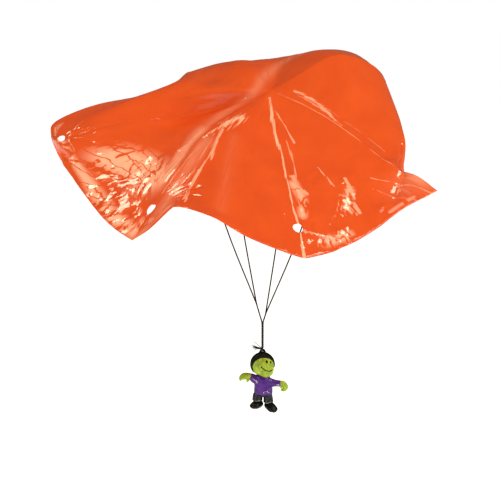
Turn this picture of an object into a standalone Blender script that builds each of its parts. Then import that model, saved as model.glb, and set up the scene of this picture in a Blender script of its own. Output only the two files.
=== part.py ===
"""Toy parachute: a thin film canopy, four thread lines and a small moulded figure.

Metres, +Z up, seen from the front along +Y. The origin is the canopy's crown, the middle of
its round sheet, where the open canopy is held up. The figure hangs below it on the lines.
"""
import math

import bmesh
import bpy
import numpy as np
from mathutils import Matrix, Vector

# The canopy is one round sheet of film with punched holes near its rim.
CANOPY_RADIUS = 0.190
FILM_THICKNESS = 0.0003
HOLE_DIAMETER = 0.008
HOLE_TO_RIM = 0.025
HOLE_ANGLES = (-165, -120, -75, -30, 15, 60, 105, 150)
LINE_ANGLES = (150, 105, 60, 15)

# The thread, its knots and the trunk in which the four lines run together.
THREAD_DIAMETER = 0.0010
TRUNK_DIAMETER = 0.0016
TIE_KNOT_RADIUS = 0.0016
GATHER_RADIUS = 0.0017
HEAD_KNOT_RADIUS = 0.0010
LOOP_DIAMETER = 0.0005
TAIL_DIAMETER = 0.0006
TAIL_REACH = 0.0085
GATHER_DROP = 0.1800
HANG_SHIFT = -0.0053
HANG_DEPTH = 0.0400
TRUNK_LENGTH = 0.0158
LINE_BOW = 0.0006

# The figure, about 45 mm tall, drawn about the hole in the nub on its head.
HEAD_RADIUS = 0.0086
HAIR_THICKNESS = 0.0006
HAIR_OPENING = 0.0040
NAPE_RISE = 0.0016
NUB_HOLE_RISE = 0.0008
NUB_HEIGHT = 0.0014
NUB_TOP_RADIUS = 0.0009
NUB_RADIUS = 0.0017
NUB_FOOT_RADIUS = 0.0026
EYELET_DIAMETER = 0.0014
EYE_DIAMETER = 0.0012
EYE_THICKNESS = 0.0004
MOUTH_WIDTH = 0.0005
NECK_SINK = 0.0012
SHIRT_HEIGHT = 0.0144
SHIRT_WIDTH = 0.0137
SHIRT_DEPTH = 0.0096
SLEEVE_DIAMETER = 0.0048
SLEEVE_DROP = 0.0050
SLEEVE_REACH_LEFT = 0.0098
SLEEVE_REACH_RIGHT = 0.0130
ARM_DIAMETER = 0.0042
HAND_REACH = 0.0083
THUMB_DIAMETER = 0.0019
THUMB_LENGTH = 0.0036
TROUSER_HEIGHT = 0.0073
CROTCH_HEIGHT = 0.0035
LEG_WIDTH = 0.0066
LEG_DEPTH = 0.0070
STANCE_GAP = 0.0006
SHOE_WIDTH = 0.0072
SHOE_LENGTH = 0.0100
SHOE_HEIGHT = 0.0052
SHOE_FORWARD = 0.0014
RIGHT_LEG_DROP = 0.0008
HIP_SHIFT = 0.0008
WAIST_TUCK = 0.0012

# The pieces that rock together on the thread through the nub.
FIGURE_PIECES = ("head", "hair", "hanging_nub", "eye_left", "eye_right", "mouth", "shirt", "arm_left",
                 "arm_right", "trousers", "shoe_left", "shoe_right")

# How the figure is turned: its face and hair look to one side and its right side hangs lower.
FACE_YAW = math.radians(33)
EYE_YAW = math.radians(12)
EYE_PITCH = math.radians(12)
MOUTH_YAW = math.radians(25)
MOUTH_SPREAD = math.radians(28)
MOUTH_PITCH = math.radians(24)
MOUTH_CURL = math.radians(9)
HAIR_YAW = math.radians(17)
HAIR_PITCH = math.radians(25)
SHOULDER_LEAN = math.radians(11)
BODY_LEAN = math.radians(7)
TOE_ANGLE = math.radians(32)
TOE_DROP = math.radians(18)

# Clearances between pieces, and the overrun of a cutter past what it cuts.
GAP = 0.0003
OVERRUN = 0.0020

# Faces round the pieces, and points along the cords.
CANOPY_SPOKES = 48
CANOPY_RINGS = 10
ROUND_SIDES = 24
SMALL_SIDES = 12
LINE_POINTS = 15
TRUNK_POINTS = 9
TAIL_POINTS = 6
MOUTH_POINTS = 9

# Each spoke of the sheet: its angle, then its inner, middle, hole and rim places as x, y and z in
# shares of the canopy's radius. The spokes with lines are drawn in and down at the rim.
RING_SHARES = (0.42, 0.74, 0.87, 1.0)
SPOKE_SHARES = {
    -172.5: ((-0.295, 0.035, -0.05), (-0.67, 0.02, -0.1), (-0.795, 0.065, -0.13), (-0.865, 0.135, -0.135)),
    -165: ((-0.33, 0.03, -0.095), (-0.68, -0.065, -0.155), (-0.82, -0.03, -0.185), (-0.865, 0.075, -0.195)),
    -142.5: ((-0.3, -0.1, -0.13), (-0.485, -0.26, -0.275), (-0.585, -0.285, -0.335), (-0.69, -0.3, -0.405)),
    -127.5: ((-0.26, -0.19, -0.15), (-0.415, -0.39, -0.305), (-0.495, -0.44, -0.395), (-0.58, -0.495, -0.495)),
    -120: ((-0.24, -0.23, -0.15), (-0.38, -0.455, -0.32), (-0.445, -0.515, -0.425), (-0.51, -0.58, -0.53)),
    -114.5: ((-0.215, -0.265, -0.155), (-0.335, -0.485, -0.32), (-0.385, -0.56, -0.395), (-0.445, -0.63, -0.485)),
    -109: ((-0.19, -0.29, -0.16), (-0.28, -0.51, -0.315), (-0.32, -0.595, -0.365), (-0.355, -0.68, -0.4)),
    -97.5: ((-0.13, -0.32, -0.18), (-0.18, -0.58, -0.33), (-0.2, -0.685, -0.385), (-0.215, -0.79, -0.425)),
    -86: ((-0.05, -0.325, -0.205), (-0.055, -0.59, -0.37), (-0.065, -0.695, -0.44), (-0.07, -0.8, -0.505)),
    -75: ((0.04, -0.32, -0.23), (0.07, -0.58, -0.4), (0.095, -0.68, -0.48), (0.115, -0.78, -0.575)),
    -52.5: ((0.18, -0.255, -0.2), (0.28, -0.46, -0.35), (0.33, -0.515, -0.42), (0.39, -0.57, -0.485)),
    -45: ((0.21, -0.225, -0.175), (0.36, -0.4, -0.32), (0.425, -0.455, -0.375), (0.49, -0.495, -0.42)),
    -37.5: ((0.245, -0.19, -0.145), (0.45, -0.335, -0.275), (0.535, -0.36, -0.3), (0.62, -0.41, -0.36)),
    -30: ((0.27, -0.145, -0.11), (0.495, -0.23, -0.25), (0.515, -0.265, -0.325), (0.57, -0.285, -0.37)),
    -7.5: ((0.32, -0.04, 0), (0.52, 0, -0.15), (0.51, 0.06, -0.23), (0.47, 0.13, -0.32)),
    15: ((0.3, 0.09, 0.14), (0.46, 0.24, -0.01), (0.375, 0.26, -0.14), (0.23, 0.27, -0.3)),
    37.5: ((0.22, 0.22, 0.16), (0.36, 0.46, 0.08), (0.34, 0.505, -0.05), (0.31, 0.54, -0.21)),
    60: ((0.12, 0.34, 0.14), (0.14, 0.59, 0), (0.115, 0.595, -0.155), (0.08, 0.57, -0.33)),
    82.5: ((0.03, 0.41, 0.125), (0, 0.74, 0.03), (-0.02, 0.775, -0.08), (-0.04, 0.78, -0.21)),
    105: ((-0.07, 0.36, 0.115), (-0.13, 0.61, 0), (-0.14, 0.615, -0.145), (-0.15, 0.6, -0.32)),
    127.5: ((-0.15, 0.27, 0.11), (-0.29, 0.54, 0.03), (-0.31, 0.565, -0.085), (-0.32, 0.57, -0.22)),
    150: ((-0.21, 0.145, 0.045), (-0.35, 0.32, 0.03), (-0.33, 0.325, -0.105), (-0.27, 0.32, -0.28)),
    172.5: ((-0.26, 0.04, 0), (-0.44, 0.1, 0.005), (-0.505, 0.16, -0.02), (-0.57, 0.22, -0.04)),
}

# The side of the gather that each line leaves, from the first line to the fourth.
FAN_SHARES = ((-0.80, 0.15, 0.60), (-0.28, 0.70, 0.66), (0.30, 0.70, 0.65), (0.80, 0.15, 0.60))

# Each loose end runs from the knot's side to its tip, in shares of its reach.
TAIL_SHARES = ((-0.75, 0.10, 0.60), (-0.93, -0.50, 0.18), (-0.95, 0.50, -0.02), (-0.66, -0.05, -0.26))

# Where the thread leaves the knot for the nub, out and down, in shares of the way to its centre.
KNOT_EXIT_SHARES = (0.8, 0.6)

# The shirt's rises from hem to neck, each with the share of its width and depth there.
SHIRT_SHARES = ((0.0, 1.0), (0.12, 1.0), (0.45, 0.93), (0.72, 0.90), (0.90, 0.74), (1.0, 0.50))

# The arm's course beyond the cuff: how far out and down, and its swell.
ARM_SHARES = ((0.0, 0.0, 1.0), (0.10, 0.0, 1.0), (0.28, 0.04, 1.05), (0.50, 0.04, 1.10),
              (0.70, -0.05, 1.05), (0.82, -0.18, 0.90), (0.88, -0.32, 0.62), (0.90, -0.38, 0.25))
THUMB_SHARE = 0.26

# The hips' width and depth at the crotch and at the waist, in shares of the legs' own.
HIP_SHARES = ((0.94, 0.90), (0.88, 1.00))

# The leg's rises from its foot, each with its swell, and the shoe's falls with swell and shift.
LEG_SHARES = ((0.0, 0.98), (0.35, 1.0), (1.0, 0.92))
SHOE_SHARES = ((0.0, 0.55, 0.4), (0.18, 0.80, 0.8), (0.50, 0.97, 1.0), (0.85, 1.0, 1.0), (1.0, 0.93, 1.0))


def clear_scene():
    for item in list(bpy.data.objects):
        bpy.data.objects.remove(item, do_unlink=True)


def material(name, colour, roughness, metallic=0.0):
    made = bpy.data.materials.new(name)
    made.use_nodes = True
    shader = made.node_tree.nodes["Principled BSDF"]
    shader.inputs["Base Color"].default_value = (*colour, 1.0)
    shader.inputs["Roughness"].default_value = roughness
    shader.inputs["Metallic"].default_value = metallic
    return made


def add_object(name, data, look):
    item = bpy.data.objects.new(name, data)
    bpy.context.scene.collection.objects.link(item)
    if look is not None:
        data.materials.append(look)
    return item


def mesh_object(name, form, look, smooth=True):
    """Turns a bmesh into an object of its own."""
    bmesh.ops.recalc_face_normals(form, faces=form.faces)
    mesh = bpy.data.meshes.new(name)
    form.to_mesh(mesh)
    form.free()
    if smooth:
        mesh.shade_smooth()
    return add_object(name, mesh, look)


def hide_cutter(item):
    item.hide_render = True
    item.display_type = "WIRE"
    return item


def boolean(item, tool, operation="DIFFERENCE"):
    step = item.modifiers.new(operation.title(), "BOOLEAN")
    step.operation = operation
    step.solver = "EXACT"
    step.object = tool
    return item


def curve_through(knots, values, places, period=None):
    """Reads a smooth curve through the values at the knots, at each of the places."""
    knots = np.asarray(knots, float)
    values = np.asarray(values, float)
    places = np.asarray(places, float)
    if period:
        knots = np.concatenate([[knots[-1] - period], knots, knots[:2] + period])
        values = np.concatenate([values[-1:], values, values[:2]])
        places = (places - knots[1]) % period + knots[1]
    steps = np.diff(knots)[:, None]
    slopes = np.diff(values, axis=0) / steps
    ends = np.concatenate([slopes[:1], slopes, slopes[-1:]])
    spans = np.concatenate([steps[:1], steps, steps[-1:]])
    tangents = (ends[:-1] * spans[1:] + ends[1:] * spans[:-1]) / (spans[1:] + spans[:-1])
    index = np.clip(np.searchsorted(knots, places, side="right") - 1, 0, len(knots) - 2)
    span = steps[index]
    u = ((places - knots[index])[:, None]) / span
    low = (2 * u ** 3 - 3 * u ** 2 + 1) * values[index] + (u ** 3 - 2 * u ** 2 + u) * span * tangents[index]
    high = (3 * u ** 2 - 2 * u ** 3) * values[index + 1] + (u ** 3 - u ** 2) * span * tangents[index + 1]
    return low + high


def spoke_rings(angle):
    """The inner, middle, hole and rim places at one angle of the sheet."""
    angles = sorted(SPOKE_SHARES)
    places = np.array([SPOKE_SHARES[key] for key in angles]) * CANOPY_RADIUS
    flat = places.reshape(len(angles), -1)
    return curve_through(angles, flat, [angle], period=360.0).reshape(-1, 3)


def film_places(angle, shares):
    """The sheet's places along one spoke, which runs smoothly through the crown."""
    near = spoke_rings(angle)
    far = spoke_rings(angle + 180.0)
    knots = (-RING_SHARES[0], 0.0) + RING_SHARES
    values = np.concatenate([far[:1], np.zeros((1, 3)), near])
    return curve_through(knots, values, shares)


def film_point(angle, share):
    """A place on the flat faces between the sheet's rings."""
    ring = min(int(share * CANOPY_RINGS), CANOPY_RINGS - 1)
    low, high = film_places(angle, (ring / CANOPY_RINGS, (ring + 1) / CANOPY_RINGS))
    return Vector(low).lerp(Vector(high), share * CANOPY_RINGS - ring)


def film_frame(angle, share):
    """A place on the sheet with its outward spoke direction and its upper normal."""
    turn = 360.0 / CANOPY_SPOKES
    step = 1.0 / (2 * CANOPY_RINGS)
    place = film_point(angle, share)
    outward = (place - film_point(angle, share - step)).normalized()
    side = film_point(angle + turn, share) - film_point(angle - turn, share)
    return place, outward, outward.cross(side).normalized()


def make_canopy(look):
    """The whole sheet, thickened, with its ring of punched holes."""
    form = bmesh.new()
    shares = np.linspace(0.0, 1.0, CANOPY_RINGS + 1)
    spokes = [film_places(360.0 * spoke / CANOPY_SPOKES, shares) for spoke in range(CANOPY_SPOKES)]
    crown = form.verts.new(spokes[0][0])
    rows = [[form.verts.new(place) for place in spoke[1:]] for spoke in spokes]
    for row, following in zip(rows, rows[1:] + rows[:1]):
        form.faces.new((crown, row[0], following[0]))
        for ring in range(CANOPY_RINGS - 1):
            form.faces.new((row[ring], row[ring + 1], following[ring + 1], following[ring]))
    canopy = mesh_object("canopy_film", form, look)
    skin = canopy.modifiers.new("Film", "SOLIDIFY")
    skin.thickness = FILM_THICKNESS
    skin.offset = 0.0
    return boolean(canopy, make_punch())


def make_punch():
    """The cutters of all the punched holes, in one object."""
    form = bmesh.new()
    share = 1.0 - HOLE_TO_RIM / CANOPY_RADIUS
    for angle in HOLE_ANGLES:
        place, _, normal = film_frame(angle, share)
        turn = normal.to_track_quat("Z", "Y").to_matrix().to_4x4()
        bmesh.ops.create_cone(form, cap_ends=True, segments=SMALL_SIDES, radius1=HOLE_DIAMETER / 2,
                              radius2=HOLE_DIAMETER / 2, depth=2 * OVERRUN,
                              matrix=Matrix.Translation(place) @ turn)
    return hide_cutter(mesh_object("hole_punch", form, None))


def make_cord(name, points, diameter, look, closed=False, radii=None):
    """A round cord through the points."""
    curve = bpy.data.curves.new(name, "CURVE")
    curve.dimensions = "3D"
    curve.bevel_depth = diameter / 2
    curve.bevel_resolution = 2
    curve.use_fill_caps = not closed
    spline = curve.splines.new("POLY")
    spline.points.add(len(points) - 1)
    for index, (slot, place) in enumerate(zip(spline.points, points)):
        slot.co = (*place, 1.0)
        slot.radius = radii[index] if radii else 1.0
    spline.use_cyclic_u = closed
    return add_object(name, curve, look)


def tie_route(angle):
    """A thread's way through a hole and round the film's edge, a little off the film."""
    reach = (FILM_THICKNESS + THREAD_DIAMETER) / 2 + GAP
    inner = 1.0 - HOLE_TO_RIM / CANOPY_RADIUS
    bends = {ring / CANOPY_RINGS for ring in range(CANOPY_RINGS) if ring / CANOPY_RINGS > inner}
    over = []
    under = []
    for share in sorted(bends | {inner, 1.0}):
        place, outward, normal = film_frame(angle, share)
        over.append(place + normal * reach)
        under.append(place - normal * reach)
    edge = place + outward * reach
    hole, inward, _ = film_frame(angle, inner)
    return over + [edge] + under[::-1] + [hole - inward * reach], edge, outward


def make_ties(look):
    """The four loops and knots that hold the lines, and where each line starts."""
    starts = []
    for number, angle in enumerate(LINE_ANGLES, 1):
        route, edge, outward = tie_route(angle)
        make_cord("tie_loop_%d" % number, route, THREAD_DIAMETER, look, closed=True)
        drop = THREAD_DIAMETER / 2 + GAP + TIE_KNOT_RADIUS
        centre = edge + outward * drop
        make_ball("tie_knot_%d" % number, centre, (TIE_KNOT_RADIUS,) * 3, look, SMALL_SIDES)
        starts.append(centre)
    return starts


def make_lines(starts, gather, look):
    """The four lines, each bowed a little between its knot and the gather."""
    for number, (start, side) in enumerate(zip(starts, FAN_SHARES), 1):
        last = gather + Vector(side).normalized() * (GATHER_RADIUS + GAP)
        away = (start - last).normalized()
        first = start - away * (TIE_KNOT_RADIUS + GAP)
        bow = Vector((away.x, away.y, 0.0)).normalized() * LINE_BOW
        middle = (first + last) / 2 + bow
        points = curve_through((0, 1, 2), (first, middle, last), np.linspace(0, 2, LINE_POINTS))
        make_cord("line_%d" % number, points, THREAD_DIAMETER, look)


def make_ball(name, centre, radii, look, sides=ROUND_SIDES, turn=None):
    """A round or oval ball, turned about its own middle."""
    form = bmesh.new()
    bmesh.ops.create_uvsphere(form, u_segments=sides, v_segments=sides * 2 // 3, radius=1.0)
    bmesh.ops.scale(form, vec=radii, verts=form.verts)
    if turn is not None:
        bmesh.ops.rotate(form, cent=(0, 0, 0), matrix=turn, verts=form.verts)
    bmesh.ops.translate(form, vec=centre, verts=form.verts)
    return mesh_object(name, form, look)


def make_loft(name, sections, look, sides=ROUND_SIDES, turn=None, centre=(0, 0, 0)):
    """Oval sections, each (x, y, z, half width, half depth), skinned from first to last."""
    form = bmesh.new()
    rings = []
    for x, y, z, wide, deep in sections:
        ring = []
        for side in range(sides):
            bearing = 2 * math.pi * side / sides
            ring.append(form.verts.new((x + wide * math.cos(bearing), y + deep * math.sin(bearing), z)))
        rings.append(ring)
    for low, high in zip(rings, rings[1:]):
        for side in range(sides):
            after = (side + 1) % sides
            form.faces.new((low[side], low[after], high[after], high[side]))
    form.faces.new(rings[0])
    form.faces.new(rings[-1])
    if turn is not None:
        bmesh.ops.rotate(form, cent=(0, 0, 0), matrix=turn, verts=form.verts)
    bmesh.ops.translate(form, vec=centre, verts=form.verts)
    return mesh_object(name, form, look)


def make_trunk(gather, look):
    """The gather, the trunk under it and the knot over the figure's head."""
    make_ball("gather_knot", gather, (GATHER_RADIUS,) * 3, look, SMALL_SIDES)
    down = Vector((0.0, 0.0, -1.0))
    first = gather + down * (GATHER_RADIUS + GAP)
    last = first + down * TRUNK_LENGTH
    points = [first.lerp(last, share) for share in np.linspace(0, 1, TRUNK_POINTS)]
    make_cord("trunk_cord", points, TRUNK_DIAMETER, look)
    knot = last + down * (GAP + HEAD_KNOT_RADIUS)
    make_ball("head_knot", knot, (HEAD_KNOT_RADIUS,) * 3, look, SMALL_SIDES)
    make_tails(knot, look)
    return knot


def make_tails(knot, look):
    """The loose thread ends that stick out beside the knot."""
    for number, shares in enumerate(TAIL_SHARES, 1):
        tip = Vector(shares) * TAIL_REACH
        first = tip.normalized() * (HEAD_KNOT_RADIUS + GAP)
        lift = Vector((0.0, 0.0, TAIL_DIAMETER))
        points = []
        for share in np.linspace(0, 1, TAIL_POINTS):
            points.append(knot + first.lerp(tip, share) + lift * math.sin(math.pi * share))
        make_cord("loose_end_%d" % number, points, TAIL_DIAMETER, look)


def make_head_loop(pivot, look):
    """The thread from the knot down one side of the nub, through its hole and up again."""
    clear = LOOP_DIAMETER / 2 + GAP
    rise = NUB_HEIGHT + GAP + HEAD_KNOT_RADIUS
    leg = NUB_RADIUS + clear
    reach = HEAD_KNOT_RADIUS + GAP
    out, down = KNOT_EXIT_SHARES
    side = [(reach * out, rise - reach * down),
            (NUB_RADIUS + GAP, NUB_HEIGHT),
            (leg, NUB_HEIGHT / 2),
            (leg, LOOP_DIAMETER / 4),
            (NUB_RADIUS, 0.0),
            (NUB_RADIUS / 2, 0.0)]
    half = [Vector((0.0, across, up)) for across, up in side]
    mirrored = [Vector((0.0, -place.y, place.z)) for place in half[::-1]]
    points = [pivot + place for place in half + [Vector()] + mirrored]
    make_cord("head_loop", points, LOOP_DIAMETER, look)


def facing(yaw, pitch):
    """A direction from the head's middle: yaw turns towards +X and pitch lifts."""
    return Vector((math.sin(yaw) * math.cos(pitch), -math.cos(yaw) * math.cos(pitch), math.sin(pitch)))


def lean(angle):
    """A turn that lowers the +X side."""
    return Matrix.Rotation(angle, 3, "Y")


def make_box(name, wide, deep, place, turn):
    """A square cutter box about a place."""
    form = bmesh.new()
    bmesh.ops.create_cube(form, size=1.0)
    bmesh.ops.scale(form, vec=(wide, wide, deep), verts=form.verts)
    bmesh.ops.transform(form, matrix=Matrix.Translation(place) @ turn.to_4x4(), verts=form.verts)
    return hide_cutter(mesh_object(name, form, None, smooth=False))


def make_hair(centre, look):
    """A thin cap on the head, open over the face and cut level at the nape."""
    outer = HEAD_RADIUS + GAP + HAIR_THICKNESS
    cap = make_ball("hair", centre, (outer,) * 3, look)
    boolean(cap, hide_cutter(make_ball("hair_hollow", centre, (HEAD_RADIUS + GAP,) * 3, None)))
    nape = HEAD_RADIUS - NECK_SINK - NAPE_RISE
    cuts = (("face_cutter", facing(HAIR_YAW, -HAIR_PITCH), HAIR_OPENING),
            ("nape_cutter", Vector((0.0, 0.0, -1.0)), nape))
    for name, way, start in cuts:
        deep = outer + OVERRUN - start
        turn = way.to_track_quat("Z", "Y").to_matrix()
        boolean(cap, make_box(name, 4 * outer, deep, centre + way * (start + deep / 2), turn))
    return outer


def make_nub(pivot, centre, outer, look):
    """The nub stands on the hair and has a hole across it for the thread."""
    sections = ((0.0, 0.0, -NUB_HEIGHT - OVERRUN, NUB_FOOT_RADIUS, NUB_FOOT_RADIUS),
                (0.0, 0.0, -NUB_HEIGHT, NUB_FOOT_RADIUS, NUB_FOOT_RADIUS),
                (0.0, 0.0, 0.0, NUB_RADIUS, NUB_RADIUS),
                (0.0, 0.0, NUB_HEIGHT, NUB_TOP_RADIUS, NUB_TOP_RADIUS))
    nub = make_loft("hanging_nub", sections, look, SMALL_SIDES, centre=pivot)
    boolean(nub, hide_cutter(make_ball("nub_seat", centre, (outer + GAP,) * 3, None)))
    across = Matrix.Rotation(math.pi / 2, 3, "X")
    boolean(nub, make_rod("eyelet_cutter", EYELET_DIAMETER, 4 * NUB_FOOT_RADIUS, pivot, across))


def make_rod(name, diameter, length, place, turn):
    """A round cutter about a place."""
    form = bmesh.new()
    bmesh.ops.create_cone(form, cap_ends=True, segments=SMALL_SIDES, radius1=diameter / 2,
                          radius2=diameter / 2, depth=length,
                          matrix=Matrix.Translation(place) @ turn.to_4x4())
    return hide_cutter(mesh_object(name, form, None))


def make_face(centre, ink):
    """Two dot eyes and a curved mouth, laid on the head."""
    rest = HEAD_RADIUS + GAP + EYE_THICKNESS / 2
    for side, name in ((-1, "eye_left"), (1, "eye_right")):
        way = facing(FACE_YAW + side * EYE_YAW, EYE_PITCH - side * EYE_YAW * math.sin(SHOULDER_LEAN))
        turn = way.to_track_quat("Z", "Y").to_matrix()
        flat = (EYE_DIAMETER / 2, EYE_DIAMETER / 2, EYE_THICKNESS / 2)
        make_ball(name, centre + way * rest, flat, ink, SMALL_SIDES, turn)
    points = []
    for across in np.linspace(-1, 1, MOUTH_POINTS):
        drop = MOUTH_SPREAD * across * math.sin(SHOULDER_LEAN)
        way = facing(MOUTH_YAW + across * MOUTH_SPREAD, MOUTH_CURL * across ** 2 - MOUTH_PITCH - drop)
        points.append(centre + way * (HEAD_RADIUS + GAP + MOUTH_WIDTH / 2))
    make_cord("mouth", points, MOUTH_WIDTH, ink)


def make_shirt(head, look):
    """The shirt with its two short sleeves, hollowed at the neck for the head."""
    neck = head - Vector((0.0, 0.0, HEAD_RADIUS - NECK_SINK))
    sections = [(0.0, 0.0, SHIRT_HEIGHT * rise, SHIRT_WIDTH / 2 * width, SHIRT_DEPTH / 2 * width)
                for rise, width in SHIRT_SHARES]
    hem = neck - Vector((0.0, 0.0, SHIRT_HEIGHT))
    shirt = make_loft("shirt", sections, look, turn=lean(BODY_LEAN), centre=hem)
    shoulder = neck - Vector((0.0, 0.0, SLEEVE_DROP))
    boolean(shirt, make_sleeve("sleeve_left", shoulder, -1, SLEEVE_REACH_LEFT), "UNION")
    boolean(shirt, make_sleeve("sleeve_right", shoulder, 1, SLEEVE_REACH_RIGHT), "UNION")
    boolean(shirt, hide_cutter(make_ball("neck_cutter", head, (HEAD_RADIUS + GAP,) * 3, None)))
    return hem, shoulder


def make_sleeve(name, shoulder, side, reach):
    """A straight tube from the middle of the shoulders out to the cuff."""
    turn = lean(SHOULDER_LEAN) @ Matrix.Rotation(side * math.pi / 2, 3, "Y")
    radius = SLEEVE_DIAMETER / 2
    sections = ((0.0, 0.0, 0.0, radius, radius),
                (0.0, 0.0, reach, radius, radius))
    return hide_cutter(make_loft(name, sections, None, ROUND_SIDES, turn, shoulder))


def make_arm(name, shoulder, side, reach, look):
    """A bare arm that curls down from the cuff, with its thumb."""
    turn = lean(SHOULDER_LEAN)
    cuff = Vector((side * (reach + GAP), 0.0, 0.0))
    radius = ARM_DIAMETER / 2
    points = []
    radii = []
    for out, down, swell in ARM_SHARES:
        points.append(shoulder + turn @ (cuff + Vector((side * out, 0.0, down)) * HAND_REACH))
        radii.append(swell)
    arm = make_cord(name, points, ARM_DIAMETER, look, radii=radii)
    root = shoulder + turn @ (cuff + Vector((side * THUMB_SHARE * HAND_REACH, 0.0, -radius / 2)))
    tip = root - Vector((0.0, 0.0, THUMB_LENGTH))
    form = bmesh.new()
    bmesh.ops.create_uvsphere(form, u_segments=SMALL_SIDES, v_segments=SMALL_SIDES // 2, radius=1.0)
    bmesh.ops.scale(form, vec=(THUMB_DIAMETER / 2, THUMB_DIAMETER / 2, THUMB_LENGTH / 2), verts=form.verts)
    bmesh.ops.translate(form, vec=(root + tip) / 2, verts=form.verts)
    solid = mesh_from(arm, look)
    boolean(solid, hide_cutter(mesh_object(name + "_thumb", form, None)), "UNION")


def mesh_from(item, look):
    """Replaces a curve object by a mesh object of the same shape and name."""
    name = item.name
    shape = item.evaluated_get(bpy.context.evaluated_depsgraph_get())
    mesh = bpy.data.meshes.new_from_object(shape)
    bpy.data.objects.remove(item, do_unlink=True)
    mesh.materials.clear()
    return add_object(name, mesh, look)


def make_trousers(hem, look):
    """The hips and two legs, cut off level with the leaning hem."""
    spread = SHOE_WIDTH + STANCE_GAP
    half = (spread + LEG_WIDTH) / 2
    waist = hem + Vector((HIP_SHIFT, 0.0, 0.0))
    rises = (CROTCH_HEIGHT - TROUSER_HEIGHT, WAIST_TUCK)
    hips = [(0.0, 0.0, rise, half * wide, LEG_DEPTH / 2 * deep)
            for rise, (wide, deep) in zip(rises, HIP_SHARES)]
    trousers = make_loft("trousers", hips, look, centre=waist)
    ankles = []
    for side, drop, name in ((-1, 0.0, "leg_left"), (1, RIGHT_LEG_DROP, "leg_right")):
        foot = waist + Vector((side * spread / 2, 0.0, -TROUSER_HEIGHT - drop))
        rise = WAIST_TUCK / 2 + TROUSER_HEIGHT + drop
        leg = [(0.0, 0.0, rise * share, LEG_WIDTH / 2 * swell, LEG_DEPTH / 2 * swell)
               for share, swell in LEG_SHARES]
        boolean(trousers, hide_cutter(make_loft(name, leg, None, centre=foot)), "UNION")
        ankles.append(foot - Vector((0.0, 0.0, GAP)))
    turn = lean(BODY_LEAN)
    above = hem + turn @ Vector((0.0, 0.0, SHIRT_HEIGHT / 2 - GAP))
    boolean(trousers, make_box("waist_cutter", 2 * SHIRT_WIDTH, SHIRT_HEIGHT, above, turn))
    return ankles


def make_shoes(ankles, look):
    """Two rounded shoes with their toes turned out, the right one hanging toe down."""
    poses = ((-1, ankles[0], 0.0, "shoe_left"),
             (1, ankles[1], TOE_DROP, "shoe_right"))
    for side, ankle, drop, name in poses:
        turn = Matrix.Rotation(side * TOE_ANGLE, 3, "Z") @ Matrix.Rotation(drop, 3, "X")
        place = ankle - Vector((0.0, 0.0, SHOE_LENGTH / 4 * math.sin(drop)))
        sections = [(0.0, -SHOE_FORWARD * forward, -SHOE_HEIGHT * fall,
                     SHOE_WIDTH / 2 * swell, SHOE_LENGTH / 2 * swell) for fall, swell, forward in SHOE_SHARES]
        make_loft(name, sections, look, turn=turn, centre=place)


def hang(name, place, pieces):
    """Parents the pieces, where they are, to an empty on the axis that they swing or turn about."""
    hub = bpy.data.objects.new(name, None)
    bpy.context.scene.collection.objects.link(hub)
    hub.location = place
    for piece in pieces:
        item = bpy.data.objects[piece]
        item.parent = hub
        item.matrix_parent_inverse = Matrix.Translation(-place)


def main():
    clear_scene()
    film = material("orange_film", (0.90, 0.14, 0.02), 0.25)
    thread = material("black_thread", (0.02, 0.02, 0.02), 0.8)
    skin = material("green_vinyl", (0.33, 0.48, 0.03), 0.4)
    hair = material("black_vinyl", (0.02, 0.02, 0.02), 0.35)
    ink = material("black_paint", (0.01, 0.01, 0.01), 0.4)
    purple = material("purple_vinyl", (0.12, 0.03, 0.24), 0.35)
    cloth = material("dark_vinyl", (0.03, 0.05, 0.05), 0.4)
    gather = Vector((HANG_SHIFT, HANG_DEPTH, -GATHER_DROP))
    make_canopy(film)
    make_lines(make_ties(thread), gather, thread)
    knot = make_trunk(gather, thread)
    pivot = knot - Vector((0.0, 0.0, HEAD_KNOT_RADIUS + GAP + NUB_HEIGHT))
    make_head_loop(pivot, thread)
    head = pivot - Vector((0.0, 0.0, HEAD_RADIUS + GAP + HAIR_THICKNESS + NUB_HOLE_RISE))
    make_ball("head", head, (HEAD_RADIUS,) * 3, skin)
    make_nub(pivot, head, make_hair(head, hair), hair)
    make_face(head, ink)
    hem, shoulder = make_shirt(head, purple)
    make_arm("arm_left", shoulder, -1, SLEEVE_REACH_LEFT, skin)
    make_arm("arm_right", shoulder, 1, SLEEVE_REACH_RIGHT, skin)
    make_shoes(make_trousers(hem, cloth), hair)
    hang("swing_axes", gather, ("gather_knot", "trunk_cord"))
    tails = ["loose_end_%d" % number for number in range(1, len(TAIL_SHARES) + 1)]
    hang("twist_axis", knot, ["head_knot", "head_loop"] + tails)
    hang("rock_axis", pivot, FIGURE_PIECES)


main()
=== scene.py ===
"""Toy parachute: a film canopy, four thread lines and a small moulded figure, finished for close views."""
import math

import bmesh
import bpy
import numpy as np
from mathutils import Matrix, Vector
from mathutils.bvhtree import BVHTree
from mathutils.geometry import delaunay_2d_cdt
from mathutils.kdtree import KDTree


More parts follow.
